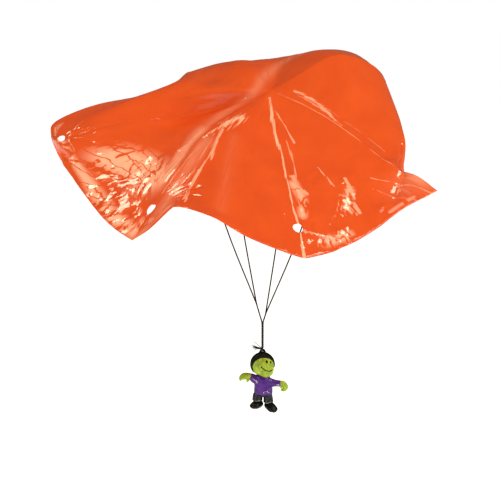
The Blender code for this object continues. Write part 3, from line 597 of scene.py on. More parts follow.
def crest(flat, path, height, width):
    """A fold's rise over each point of the sheet: a sharp crest that dies away on its flanks and ends."""
    away, ends = nearest_on(flat, path)
    fade = np.clip(ends * 6, 0.0, 1.0)
    return height * np.exp(-away / width) * fade * (3 - 2 * fade) * fade


def hole_pulls():
    """Short folds that fan out of the holes, where the film is pulled or was handled."""
    chance = np.random.default_rng(PULL_SEED)
    pulls = []
    for angle, lean, fan, reach, count in HOLE_PULLS:
        centre = hole_centre(angle)
        for number in range(count):
            swing = lean + fan * ((number + 0.5) / count - 0.5) + chance.uniform(-5, 5)
            out = heading(math.radians(angle) + math.pi - math.radians(swing))
            length = reach * chance.uniform(0.5, 1.0)
            bend = np.array([-out[1], out[0]]) * length * chance.uniform(-0.12, 0.12)
            path = [centre + out * HOLE_DIAMETER / 2, centre + out * length / 2 + bend, centre + out * length]
            height = PULL_HEIGHT * chance.uniform(0.5, 1.0) * (1 if number % 2 else -1)
            pulls.append((np.array(path), height, PULL_WIDTH * chance.uniform(0.7, 1.5)))
    return pulls


def spread(flat, strokes):
    """How strongly each point of the sheet lies under broad strokes over it."""
    strength = np.zeros(len(flat))
    for path, reach, most in strokes:
        away = nearest_on(flat, flat_path(path))[0] / reach
        strength = np.maximum(strength, most * np.exp(-away ** 2))
    return strength


def worn_and_highlit_crests(flat):
    """The distance to the nearest pale crest, worn pale and painted with a highlight, in shares of its half
    width, and how pale it is.
    """
    least = np.full(len(flat), CREASE_CAP)
    paleness = np.zeros(len(flat))
    for path, height, width, pale, half in CREASES:
        if pale:
            away = nearest_on(flat, flat_path(path))[0] / half
            paleness = np.where(away < least, pale, paleness)
            least = np.minimum(least, away)
    return least, paleness


def crumple_strength(flat):
    """How strongly each point of the sheet is crumpled, which leaves the holes round."""
    strength = np.full(len(flat), CRUMPLE_REST)
    for angle, share, reach, most in CRUMPLES:
        near = away_from(flat, heading(math.radians(angle), share * SHEET_RADIUS)) / reach
        strength = np.maximum(strength, most * np.exp(-near ** 2 * 1.5))
    for angle in HOLE_ANGLES:
        strength *= np.clip(away_from(flat, hole_centre(angle)) / HOLE_CALM - 0.5, 0.0, 1.0)
    return strength


def add_object(name, data):
    """Adds an object to the scene."""
    item = bpy.data.objects.new(name, data)
    bpy.context.scene.collection.objects.link(item)
    return item


def stand_for(item, body, node):
    """Lets a piece ride a body, in the place of a CAD node, which it hides."""
    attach(item, body)
    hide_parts(node)


def read_places(mesh):
    """The places and the normals of a mesh's points."""
    tables = []
    for name in ("co", "normal"):
        table = np.zeros(len(mesh.vertices) * 3, np.float32)
        mesh.vertices.foreach_get(name, table)
        tables.append(table.reshape(-1, 3).astype(float))
    return tables


def move(mesh, places):
    """Moves a mesh's points to new places."""
    mesh.vertices.foreach_set("co", places.astype(np.float32).ravel())
    mesh.update()


def add_layer(mesh, name, values):
    """Lets a mesh carry a value, or a place, at each of its points."""
    kind, key = ("FLOAT", "value") if values.ndim == 1 else ("FLOAT_VECTOR", "vector")
    mesh.attributes.new(name, kind, "POINT").data.foreach_set(key, values.astype(np.float32).ravel())


def baked(item):
    """The plain mesh that an object's modifiers make, which is all that is kept of the object."""
    bpy.context.view_layer.update()
    mesh = bpy.data.meshes.new_from_object(item.evaluated_get(bpy.context.evaluated_depsgraph_get()))
    bpy.data.objects.remove(item, do_unlink=True)
    return mesh


def start_tree(name, **inputs):
    """A geometry node tree with its inputs of the kinds given, and the sockets that they are read from."""
    tree = bpy.data.node_groups.new(name, "GeometryNodeTree")
    for title, kind in inputs.items():
        tree.interface.new_socket(name=title, in_out="INPUT", socket_type="NodeSocket" + kind)
    tree.interface.new_socket(name="result", in_out="OUTPUT", socket_type="NodeSocketGeometry")
    return tree, add_node(tree, "NodeGroupInput").outputs


def dress(tree, shape, look):
    """Ends a geometry node tree with the shape made real, in its material."""
    whole = add_node(tree, "GeometryNodeRealizeInstances", {0: shape})
    dressed = add_node(tree, "GeometryNodeSetMaterial", {"Geometry": whole, "Material": look})
    add_node(tree, "NodeGroupOutput", {0: dressed})
    return tree


def grow(name, base, tree, **settings):
    """Runs a geometry node tree on a mesh and keeps the result as a plain mesh object."""
    item = add_object(name, base)
    step = item.modifiers.new("Grow", "NODES")
    step.node_group = tree
    for key, value in settings.items():
        step[tree.interface.items_tree[key].identifier] = value
    mesh = baked(item)
    mesh.name = name
    return add_object(name, mesh)


def crumple_tree():
    """Crumples a sheet into flat facets of two sizes, as strongly as the sheet says."""
    tree, given = start_tree("film_crumple", sheet="Geometry", size="Float", height="Float", look="Material")
    flat, strength = [
        add_node(tree, "GeometryNodeInputNamedAttribute", {"Name": name}, data_type=kind).outputs["Attribute"]
        for name, kind in (("flat", "FLOAT_VECTOR"), ("crumple", "FLOAT"))]
    place = scaled(tree, flat, maths(tree, "DIVIDE", 1.0, given["size"]))
    layers = [maths(tree, "MULTIPLY", facet_pattern(tree, place, finer, shifts), weight)
              for finer, weight, shifts in FACET_LAYERS]
    rise = maths(tree, "MULTIPLY", maths(tree, "ADD", *layers), given["height"])
    rise = maths(tree, "MULTIPLY", rise, strength)
    offset = scaled(tree, add_node(tree, "GeometryNodeInputNormal"), rise)
    moved = add_node(tree, "GeometryNodeSetPosition", {"Geometry": given["sheet"], "Offset": offset})
    return dress(tree, moved, given["look"])


def make_film(look):
    """The open canopy as one thin sheet."""
    folds = [(flat_path(path), height, width) for path, height, width, pale, half in CREASES] + hole_pulls()
    spokes = [flat_path(((angle, FOLD_START), (angle, 1.0))) for angle in FOLD_SHARES]
    flat, faces = flat_sheet([path for path, height, width in folds] + spokes)
    angles = np.degrees(np.arctan2(flat[:, 1], flat[:, 0]))
    places = open_places(angles, away_from(flat, (0, 0)) / SHEET_RADIUS)
    rise = sum(crest(flat, *fold) for fold in folds)
    mesh = bpy.data.meshes.new("film")
    mesh.from_pydata(places.tolist(), [], faces.tolist())
    _, normals = read_places(mesh)
    move(mesh, places + normals * rise[:, None])
    away, paleness = worn_and_highlit_crests(flat)
    # Layers for the material: the painted sheen, the painted highlights on crumpled patches, and the pale
    # crests, worn and painted with a highlight.
    layers = {"flat": np.pad(flat, ((0, 0), (0, 1))), "crumple": crumple_strength(flat),
              "painted_sheen": spread(flat, PAINTED_SHEENS), "painted_glints": spread(flat, PAINTED_GLINT_PATCHES), "crest": away, "pale": paleness}
    for name, values in layers.items():
        add_layer(mesh, name, values)
    mesh.shade_smooth()
    film = grow("film", mesh, crumple_tree(), size=FACET_SIZE, height=FACET_HEIGHT, look=look)
    wall = film.modifiers.new("Gauge", "SOLIDIFY")
    wall.thickness = FILM_GAUGE
    wall.offset = 0.0
    stand_for(film, "canopy", "canopy_film")
    return film


def thread_tree():
    """Twists plies round each path of a mesh of edges."""
    tree, given = start_tree("twisted_thread", paths="Geometry", step="Float", twist_radius="Float",
                             ply_radius="Float", pitch="Float", plies="Int", sides="Int", look="Material")
    line = add_node(tree, "GeometryNodeMeshToCurve", {"Mesh": given["paths"]})
    fine = add_node(tree, "GeometryNodeResampleCurve", {"Curve": line, "Length": given["step"]},
                    mode="LENGTH")
    copies = add_node(tree, "GeometryNodeDuplicateElements", {"Geometry": fine, "Amount": given["plies"]},
                      domain="SPLINE").outputs
    along = add_node(tree, "GeometryNodeSplineParameter").outputs["Length"]
    turns = maths(tree, "DIVIDE", along, given["pitch"])
    share = maths(tree, "DIVIDE", copies["Duplicate Index"], given["plies"])
    phase = maths(tree, "MULTIPLY", maths(tree, "ADD", turns, share), 2 * math.pi)
    normal = add_node(tree, "GeometryNodeInputNormal")
    side = vectors(tree, "CROSS_PRODUCT", add_node(tree, "GeometryNodeInputTangent"), normal)
    shifts = [scaled(tree, way, maths(tree, wave, phase))
              for wave, way in (("COSINE", normal), ("SINE", side))]
    shift = scaled(tree, vectors(tree, "ADD", *shifts), given["twist_radius"])
    wound = add_node(tree, "GeometryNodeSetPosition", {"Geometry": copies[0], "Offset": shift})
    ring = add_node(tree, "GeometryNodeCurvePrimitiveCircle",
                    {"Resolution": given["sides"], "Radius": given["ply_radius"]})
    plies = add_node(tree, "GeometryNodeCurveToMesh",
                     {"Curve": wound, "Profile Curve": ring, "Fill Caps": True})
    return dress(tree, plies, given["look"])


def twist(kit, name, body, node, paths, diameter, closed=False, plies=PLIES, step=0.5, sides=8):
    """Thread of one diameter, twisted along each of the paths, in the place of a CAD node."""
    tree, look = kit
    mesh = bpy.data.meshes.new(name)
    mesh.from_pydata([tuple(place) for path in paths for place in path], join(paths, closed), [])
    ply = diameter / 2 * PLY_SHARE
    made = grow(name, mesh, tree, step=diameter * step, twist_radius=diameter / 2 - ply,
                ply_radius=ply * PLY_SWELL, pitch=diameter * PITCH_SHARE, plies=plies, sides=sides, look=look)
    made.data.shade_smooth()
    stand_for(made, body, node)
    return made


def knot_path(centre, radius, thread):
    """A tight overhand knot inside a ball of that radius."""
    turns = np.linspace(0, 2 * math.pi, 60, endpoint=False)
    place = np.stack([np.sin(turns) + 2 * np.sin(2 * turns), -np.sin(3 * turns) * 1.4,
                      np.cos(turns) - 2 * np.cos(2 * turns)], axis=1)
    return centre + place / 3.0 * (radius - thread / 2)


def film_frame(angle, share):
    """A place on the calm sheet, its outward direction and its upper normal."""
    asked = np.array([(angle, share), (angle, share - 0.01), (angle - 1.0, share), (angle + 1.0, share)])
    place, before, left, right = open_places(*asked.T)
    outward = (place - before) / np.linalg.norm(place - before)
    normal = np.cross(outward, right - left)
    return place, outward, normal / np.linalg.norm(normal)


def tie_path(angle):
    """A thread's closed way through a hole and round the film's edge, a little off the film."""
    reach = (FILM_GAUGE + THREAD_DIAMETER) / 2 + GAP
    inner = 1.0 - HOLE_TO_RIM / SHEET_RADIUS
    over = []
    under = []
    for share in np.linspace(inner, 1.0, 5):
        place, outward, normal = film_frame(angle, share)
        over.append(place + normal * reach)
        under.append(place - normal * reach)
    hole, inward, _ = film_frame(angle, inner)
    route = over + [place + outward * reach] + under[::-1] + [hole - inward * reach]
    return smooth_path(route[-2:] + route + route[:1], 80)[8:-6]


def measure(node):
    """The middle and the half width of a CAD node."""
    low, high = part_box(node)
    return np.array((low + high) / 2), (high.x - low.x) / 2


def make_line(kit, number, knot, radius, gather):
    """One line, from its knot at the film to its neighbour, and beside that into the gather."""
    across, up = MEETINGS[(number - 1) // 2]
    aside = SIDE_BY_SIDE if number in (1, 4) else -SIDE_BY_SIDE
    meeting = gather + np.array([across, aside, up])
    last = gather + np.array([across * 0.05, aside, 0.0])
    away = (knot - meeting) / np.linalg.norm(knot - meeting)
    first = knot - away * (radius + GAP)
    bow = np.array([away[0], away[1], 0.0])
    middle = (first + meeting) / 2 + bow / np.linalg.norm(bow) * LINE_BOW
    above = smooth_path([first, middle, meeting + away * MEETING_BEND], LINE_POINTS)
    route = np.concatenate([above, np.linspace(meeting + (last - meeting) * 0.15, last, 5)])
    line = twist(kit, "line_thread_%d" % number, "canopy", "line_%d" % number, [route], THREAD_DIAMETER,
                 step=0.7)


def make_threads(look):
    """The lines with their ties, the gather, the trunk, the knot over the head and its loose ends."""
    kit = (thread_tree(), look)
    gather, _ = measure("gather_knot")
    for number, angle in enumerate(LINE_ANGLES, 1):
        knot, radius = measure("tie_knot_%d" % number)
        twist(kit, "tie_loop_thread_%d" % number, "canopy", "tie_loop_%d" % number, [tie_path(angle)],
              THREAD_DIAMETER, closed=True)
        twist(kit, "tie_knot_thread_%d" % number, "canopy", "tie_knot_%d" % number,
              [knot_path(knot, radius, THREAD_DIAMETER)], THREAD_DIAMETER * KNOT_SHARE, closed=True, step=0.4)
        make_line(kit, number, knot, radius, gather)
    make_gather(kit, gather)
    make_tie_off(kit)


def make_gather(kit, gather):
    """The knot that gathers the lines, and the trunk in which they run twisted together."""
    bearings = np.linspace(0, 2 * math.pi * GATHER_TURNS, 24 * GATHER_TURNS)
    rise = np.linspace(GATHER_HEIGHT / 2, -GATHER_HEIGHT / 2, len(bearings))
    reach = GATHER_WRAP - GATHER_THREAD / 2
    wrap = gather + np.stack([reach * np.cos(bearings), reach * np.sin(bearings), rise], axis=1)
    twist(kit, "gather_wraps", "gather", "gather_knot", [wrap], GATHER_THREAD)
    core = [gather + np.array([0.0, 0.0, up]) for up in (CORE_REACH, 0.0, -CORE_REACH)]
    many = {"plies": 4, "step": 0.12, "sides": 12}
    twist(kit, "gather_core", "gather", "gather_knot", [core], 2 * GATHER_WRAP - GATHER_THREAD, **many)
    low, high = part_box("trunk_cord")
    middle, _ = measure("trunk_cord")
    heights = np.linspace(high.z + TRUNK_INTO_GATHER, low.z - TRUNK_INTO_KNOT, 12)
    route = [(middle[0], middle[1], height) for height in heights]
    twist(kit, "trunk_strands", "trunk", "trunk_cord", [route], TRUNK_DIAMETER, **many)


def make_tie_off(kit):
    """The small knot over the head, its loop through the nub, and the loose ends beside it."""
    knot, radius = measure("head_knot")
    ball = knot_path(knot, radius, TAIL_DIAMETER)
    twist(kit, "head_knot_thread", "tie_off", "head_knot", [ball], TAIL_DIAMETER, closed=True)
    low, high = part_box("head_loop")
    foot = low.z + LOOP_DIAMETER / 2
    wide = (high.y - low.y) / 2 - LOOP_DIAMETER / 2
    half = [(wide * 0.45, high.z - LOOP_DIAMETER / 2), (wide * 0.86, high.z - 0.0011),
            (wide, (high.z + foot) / 2 - 0.0004), (wide * 0.93, foot + 0.0002),
            (wide * 0.5, foot), (0.0, foot)]
    places = half + [(-across, up) for across, up in half[-2::-1]]
    route = smooth_path([(knot[0], knot[1] + across, up) for across, up in places], 60)
    twist(kit, "head_loop_thread", "tie_off", "head_loop", [route], LOOP_DIAMETER)
    for number, (shares, fray) in enumerate(zip(TAIL_SHARES, TAIL_FRAYS), 1):
        paths = [fibre_path(knot, number, shares, fray, fibre) for fibre in range(FIBRES)]
        twist(kit, "loose_thread_%d" % number, "tie_off", "loose_end_%d" % number, paths, FIBRE_DIAMETER,
              plies=1, sides=6)


def fibre_path(knot, number, shares, fray, fibre):
    """One fibre of a loose end, which strays more the more its end is frayed."""
    turn = 2 * math.pi * (fibre * 0.618 + number * 0.2)
    reach = 0.72 + 0.33 * ((fibre * 0.755 + number * 0.3) % 1.0)
    first = np.array([0.0, 0.0, -TAIL_DROP])
    tip = np.array(shares) * TAIL_REACH + first
    along = np.linspace(0, 1, TAIL_POINTS)
    apart = TAIL_DIAMETER * 0.3 + fray * along ** 1.7
    route = knot + first + (tip - first) * along[:, None] * reach
    route[:, 2] += apart * np.cos(turn + along * 3.0) + fray * 0.35 * np.sin(along * 9.0 + turn) * along
    route[:, 1] += apart * np.sin(turn + along * 3.0)
    route[:, 0] += fray * 0.3 * np.cos(along * 7.0 + turn * 2) * along
    return smooth_path(route, 40)


def add_tube(form, sections, sides=32):
    """Adds a closed tube along its sections: a middle, a half height and a half depth towards the front."""
    middles = [Vector(middle) for middle, high, deep in sections]
    rings = []
    for number, (middle, high, deep) in enumerate(sections):
        ahead = middles[min(number + 1, len(middles) - 1)] - middles[max(number - 1, 0)]
        across = Vector((0, 1, 0)).cross(ahead.normalized()).normalized()
        front = ahead.normalized().cross(across)
        ring = []
        for turn in [2 * math.pi * side / sides for side in range(sides)]:
            place = Vector(middle) + across * high * math.cos(turn) + front * deep * math.sin(turn)
            ring.append(form.verts.new(place))
        rings.append(ring)
    for ring, following in zip(rings, rings[1:]):
        for side in range(sides):
            after = (side + 1) % sides
            form.faces.new((ring[side], ring[after], following[after], following[side]))
    form.faces.new(rings[0][::-1])
    form.faces.new(rings[-1])


def rounded(sections, count):
    """The same limb in more sections, so that it bends smoothly."""
    rows = smooth_path([(*middle, high, deep) for middle, high, deep in sections], count)
    return [(tuple(row[:3]), max(row[3], 0.02), max(row[4], 0.02)) for row in rows]


def add_ball(form, centre, radius, stretch=(1, 1, 1)):
    """Adds a ball, stretched along the axes."""
    made = bmesh.ops.create_uvsphere(form, u_segments=48, v_segments=32, radius=radius)
    bmesh.ops.scale(form, vec=stretch, verts=made["verts"])
    bmesh.ops.translate(form, vec=centre, verts=made["verts"])


def lay(form, turn, place):
    """Turns a form about its origin and brings it to its place."""
    bmesh.ops.rotate(form, cent=(0, 0, 0), matrix=turn, verts=form.verts)
    bmesh.ops.translate(form, vec=place, verts=form.verts)


def as_mesh(form, name):
    """A finished form as a mesh."""
    mesh = bpy.data.meshes.new(name)
    form.to_mesh(mesh)
    form.free()
    return mesh


def melt(form, grain, rounds):
    """Runs closed shapes together into one moulded skin, in millimetres."""
    bmesh.ops.recalc_face_normals(form, faces=form.faces)
    item = add_object("melt", as_mesh(form, "melt"))
    skin = item.modifiers.new("Skin", "REMESH")
    skin.mode = "VOXEL"
    skin.voxel_size = grain
    soft = item.modifiers.new("Soft", "SMOOTH")
    soft.factor = 0.5
    soft.iterations = rounds
    return baked(item)


def round_crest(flat, path, width, step):
    """A rounded fold's rise along a path, which fades out towards both of its ends."""
    line = evenly(smooth_path(path, 24), step)
    place, away = nearest(flat, line)
    place = place / (len(line) - 1)
    return np.exp(-(away / width) ** 2) * np.clip(np.minimum(place, 1 - place) * 5, 0.0, 1.0)


def press_folds(mesh, folds):
    """Raises or sinks folds on the front of a moulded skin, and thickens the lacquer on the high ones."""
    places, normals = read_places(mesh)
    rise = np.zeros(len(places))
    lacquer = np.zeros(len(places))
    for path, height, width in folds:
        share = round_crest(places[:, [0, 2]], path, width, width / 2)
        rise += height * share
        if height >= LACQUERED_FOLD:
            lacquer = np.maximum(lacquer, share)
    rise *= np.clip(-normals[:, 1] * 2.0, 0.0, 1.0)
    add_layer(mesh, "lacquer", lacquer)
    move(mesh, places + normals * rise[:, None])


def settle(name, mesh, node, look):
    """Brings a piece of the figure to its place in the frame and ties it to its CAD node."""
    move(mesh, read_places(mesh)[0] * MM + measure("head")[0])
    mesh.materials.clear()
    mesh.materials.append(look)
    mesh.name = name
    mesh.shade_smooth()
    stand_for(add_object(name, mesh), "figure", node)


def front_of(skin, x, z):
    """The point of a skin that is seen from the front at x and z, and its normal."""
    return skin.ray_cast(Vector((x, -50.0, z)), Vector((0, 1, 0)))[:2]


def make_head(look, ink):
    """The head with its jaw, its soft dents, its painted eyes and its grooved mouth."""
    form = bmesh.new()
    add_ball(form, (0, 0, 0), FACE_RADIUS)
    add_ball(form, *JAW)
    mesh = melt(form, grain=0.22, rounds=12)
    places, normals = read_places(mesh)
    x, y, z = places.T
    wave = np.sin(x * 0.9 + 1.0) * np.sin(z * 1.1 + 0.4) * np.sin(y * 0.8)
    dents = 0.09 * wave + 0.05 * np.sin(x * 2.1 + z * 1.7)
    cheek = 0.25 * np.exp(-((x - 0.6) ** 2 + (z + 1.2) ** 2) / 3.0)
    groove = sum(GROOVE_DEPTH * round_crest(places[:, [0, 2]], path, GROOVE_WIDTH, 0.15)
                 for path in (MOUTH, MOUTH_TICK))
    rise = dents + (cheek - groove) * np.clip(-normals[:, 1] * 2, 0, 1)
    move(mesh, places + normals * rise[:, None])
    corners = [face.vertices[:] for face in mesh.polygons]
    skin = BVHTree.FromPolygons([vert.co[:] for vert in mesh.vertices], corners)
    for side, (x, z, wide, high) in EYES.items():
        spot, normal = front_of(skin, x, z)
        form = bmesh.new()
        add_ball(form, (0, 0, 0), 1.0, (wide, high, 0.22))
        lay(form, normal.to_track_quat("Z", "Y").to_matrix(), spot + normal * 0.06)
        settle("eye_%s_paint" % side, as_mesh(form, "eye"), "eye_%s" % side, ink)
    form = bmesh.new()
    for path in (MOUTH, MOUTH_TICK):
        sections = []
        for number, (x, z) in enumerate(smooth_path(path, MOUTH_POINTS)):
            spot, normal = front_of(skin, x, z)
            high = 0.5 if 0 < number < MOUTH_POINTS - 1 else 0.12
            sections.append((tuple(spot + normal * 0.03), high, 0.14))
        add_tube(form, sections, 12)
    bmesh.ops.recalc_face_normals(form, faces=form.faces)
    settle("mouth_paint", as_mesh(form, "mouth"), "mouth", ink)
    settle("head_skin", mesh, "head", look)


def make_hair(look):
    """The cap of hair, open towards the face, with fine strands that run down from the nub."""
    back = -np.array(FACE_WAY) / np.linalg.norm(FACE_WAY)
    up = np.array((0.0, 0.0, 1.0)) - back * back[2]
    up /= np.linalg.norm(up)
    right = np.cross(back, up)
    columns, rows, rim_rows = 240, 70, 5
    turns = np.linspace(0, 360, columns, endpoint=False)
    edge = curve_values(*np.array(HAIRLINE, float).T, (turns + 180) % 360 - 180)
    bearings = np.radians(turns)
    edge = edge + 0.35 * np.sin(bearings * 9) + 0.25 * np.sin(bearings * 17 + 1.0)
    ways = np.cos(bearings)[:, None] * up + np.sin(bearings)[:, None] * right
    shares = np.concatenate([np.linspace(0, 1, rows), np.linspace(1, 0.93, rim_rows + 1)[1:]])
    vertices = []
    for row, share in enumerate(shares):
        theta = np.radians(edge * share)
        way = np.cos(theta)[:, None] * back + np.sin(theta)[:, None] * ways
        azimuth = np.arctan2(way[:, 0], -way[:, 1])
        level = np.sqrt(np.clip(1 - way[:, 2] ** 2, 0, 1))
        coarse, fine = np.sin(azimuth * 46 + 2 * np.sin(way[:, 2] * 4)), np.sin(azimuth * 79)
        strands = 0.045 * level * (coarse + 0.6 * fine)
        high = np.clip((1 - share) * edge.mean() / 3.0, 0, 1)
        thick = (HAIR_RADIUS - FACE_RADIUS) * math.sqrt(max(0.0, 1 - (1 - high) ** 2))
        radius = FACE_RADIUS + thick + strands * high if row < rows else np.full(columns, FACE_RADIUS - 0.25)
        vertices.append(way * radius[:, None])
    faces = []
    for start in range(0, (len(shares) - 1) * columns, columns):
        for column in range(columns):
            after = (column + 1) % columns
            faces.append((start + column, start + after, start + columns + after, start + columns + column))
    mesh = bpy.data.meshes.new("hair")
    mesh.from_pydata(np.concatenate(vertices).tolist(), [], faces)
    form = bmesh.new()
    form.from_mesh(mesh)
    bmesh.ops.remove_doubles(form, verts=form.verts, dist=0.0005)
    bmesh.ops.holes_fill(form, edges=[edge for edge in form.edges if edge.is_boundary])
    bmesh.ops.recalc_face_normals(form, faces=form.faces)
    settle("hair_cap", as_mesh(form, "hair"), "hair", look)


def make_nub(look):
    """The moulded eyelet over the hair, which the thread's loop goes through."""
    form = bmesh.new()
    add_tube(form, rounded(BAIL, 40))
    add_ball(form, *BAIL_FOOT)
    settle("eyelet", melt(form, grain=0.12, rounds=4), "hanging_nub", look)


def make_clothes(shirt_look, trouser_look):
    """The shirt with its sleeves and the trousers, moulded with soft folds."""
    form = bmesh.new()
    add_tube(form, rounded(TORSO, 30))
    for sleeve in SLEEVES.values():
        add_tube(form, rounded(sleeve, 20))
    shirt = melt(form, grain=0.17, rounds=6)
    press_folds(shirt, SHIRT_FOLDS)
    settle("shirt_skin", shirt, "shirt", shirt_look)
    form = bmesh.new()
    for leg in LEGS.values():
        add_tube(form, rounded(leg, 20))
    add_tube(form, HIPS)
    trousers = melt(form, grain=0.17, rounds=5)
    press_folds(trousers, TROUSER_FOLDS)
    settle("trousers_skin", trousers, "trousers", trouser_look)


def make_arms(look):
    """The hands, curled down, each with its thumb and rounded tips."""
    for side in ("left", "right"):
        form = bmesh.new()
        for limb in (ARMS[side], THUMBS[side]):
            middle, high, deep = limb[-1]
            add_tube(form, rounded(limb, 30))
            add_ball(form, middle, 1.0, (high, deep, high))
        settle("arm_%s_skin" % side, melt(form, grain=0.13, rounds=5), "arm_%s" % side, look)


def make_shoes(look):
    """The rounded shoes on their soles."""
    for side, (place, yaw, drop) in SHOE_PLACES.items():
        form = bmesh.new()
        add_tube(form, rounded([((0.0, -ahead, high / 2), wide, high / 2) for ahead, wide, high in SHOE], 40))
        for vert in form.verts:
            vert.co.z = max(vert.co.z, SOLE_DEPTH / 2)
        sole = [((0.0, -ahead * 1.03, SOLE_DEPTH / 2), wide + WELT, SOLE_DEPTH / 2)
                for ahead, wide, high in SHOE]
        add_tube(form, rounded(sole, 40))
        turn = Matrix.Rotation(math.radians(yaw), 3, "Z") @ Matrix.Rotation(math.radians(drop), 3, "X")
        lay(form, turn, place)
        settle("shoe_%s_skin" % side, melt(form, grain=0.15, rounds=3), "shoe_%s" % side, look)


def make_figure():
    """The small moulded figure under the knot."""
    skin = moulded_material("painted_vinyl_skin", "#99AF2F", "#6E8619", 0.45)
    hair = moulded_material("black_painted_vinyl_hair", "#0B1110", "#040706", 0.6, gloss=0.1)
    ink = moulded_material("black_paint", "#040404", "#020202", 0.5, gloss=0.1)
    shirt = moulded_material("purple_painted_vinyl", "#4A1F78", "#391660", 0.5, gloss=0.1, coat=0.3,
                             bump=0.15)
    trousers = moulded_material("dark_grey_painted_vinyl", "#161F20", "#0A0F0F", 0.4, gloss=0.3)
    shoe = moulded_material("black_gloss_vinyl", "#070A0A", "#030505", 0.4, gloss=0.15)
    make_head(skin, ink)
    make_hair(hair)
    make_clothes(shirt, trousers)
    make_arms(skin)
    make_shoes(shoe)
    make_nub(hair)


def start_material(name):
    """A new material, its node tree and its shader."""
    made = bpy.data.materials.new(name)
    made.use_nodes = True
    return made, made.node_tree, made.node_tree.nodes["Principled BSDF"]


def read_layer(tree, name, output="Fac"):
    """A value that a mesh carries at each point."""
    return add_node(tree, "ShaderNodeAttribute", attribute_name=name).outputs[output]


def moulded_material(name, colour, dark, roughness, gloss=0.25, coat=0.0, bump=0.3):
    """Moulded vinyl: paint that pools and thins over a faintly uneven skin, glossy where it is thick."""
    made, tree, shader = start_material(name)
    place = add_node(tree, "ShaderNodeTexCoord").outputs["Object"]
    blotches = remap(tree, noise(tree, place, scale=300.0, detail=3.0), 0.35, 0.65)
    grain = noise(tree, place, scale=1200.0, detail=2.0)
    lacquer = read_layer(tree, "lacquer")
    feed(tree, shader, {
        "Base Color": blend(tree, blotches, linear(dark), linear(colour)),
        "Normal": add_node(tree, "ShaderNodeBump", {"Height": grain, "Strength": bump, "Distance": 0.0001}),
        "Roughness": roughness, "Specular IOR Level": gloss, "Coat Roughness": 0.06,
        "Coat Weight": remap(tree, lacquer, 0.3, 0.7, coat, 1.0),
        "Coat IOR": remap(tree, lacquer, 0.25, 0.6, 1.5, 3.0)})
    return made


def thread_material():
    """Spun polyester: soft black with a dull sheen on each fibre."""
    made, tree, shader = start_material("black_polyester_thread")
    place = add_node(tree, "ShaderNodeTexCoord").outputs["Object"]
    fibres = noise(tree, place, scale=4000.0, detail=2.0)
    tone = remap(tree, fibres, 0.3, 0.7, 0.003, 0.014)
    feed(tree, shader, {
        "Base Color": add_node(tree, "ShaderNodeCombineColor", {0: tone, 1: tone, 2: tone}),
        "Normal": add_node(tree, "ShaderNodeBump", {"Height": fibres, "Strength": 0.4, "Distance": 0.00005}),
        "Roughness": 0.7, "Specular IOR Level": 0.2})
    return made


def around(tree, flat, turns, rings, centre=(0, 0, 0)):
    """Places of the sheet as bearings and distances from a centre, each scaled."""
    moved = vectors(tree, "SUBTRACT", flat, centre)
    parts = add_node(tree, "ShaderNodeSeparateXYZ", {0: moved}).outputs
    bearing = maths(tree, "ARCTAN2", parts["Y"], parts["X"])
    reach = vectors(tree, "LENGTH", moved).outputs["Value"]
    return add_node(tree, "ShaderNodeCombineXYZ", {
        0: maths(tree, "MULTIPLY", bearing, turns), 1: maths(tree, "MULTIPLY", reach, rings)})


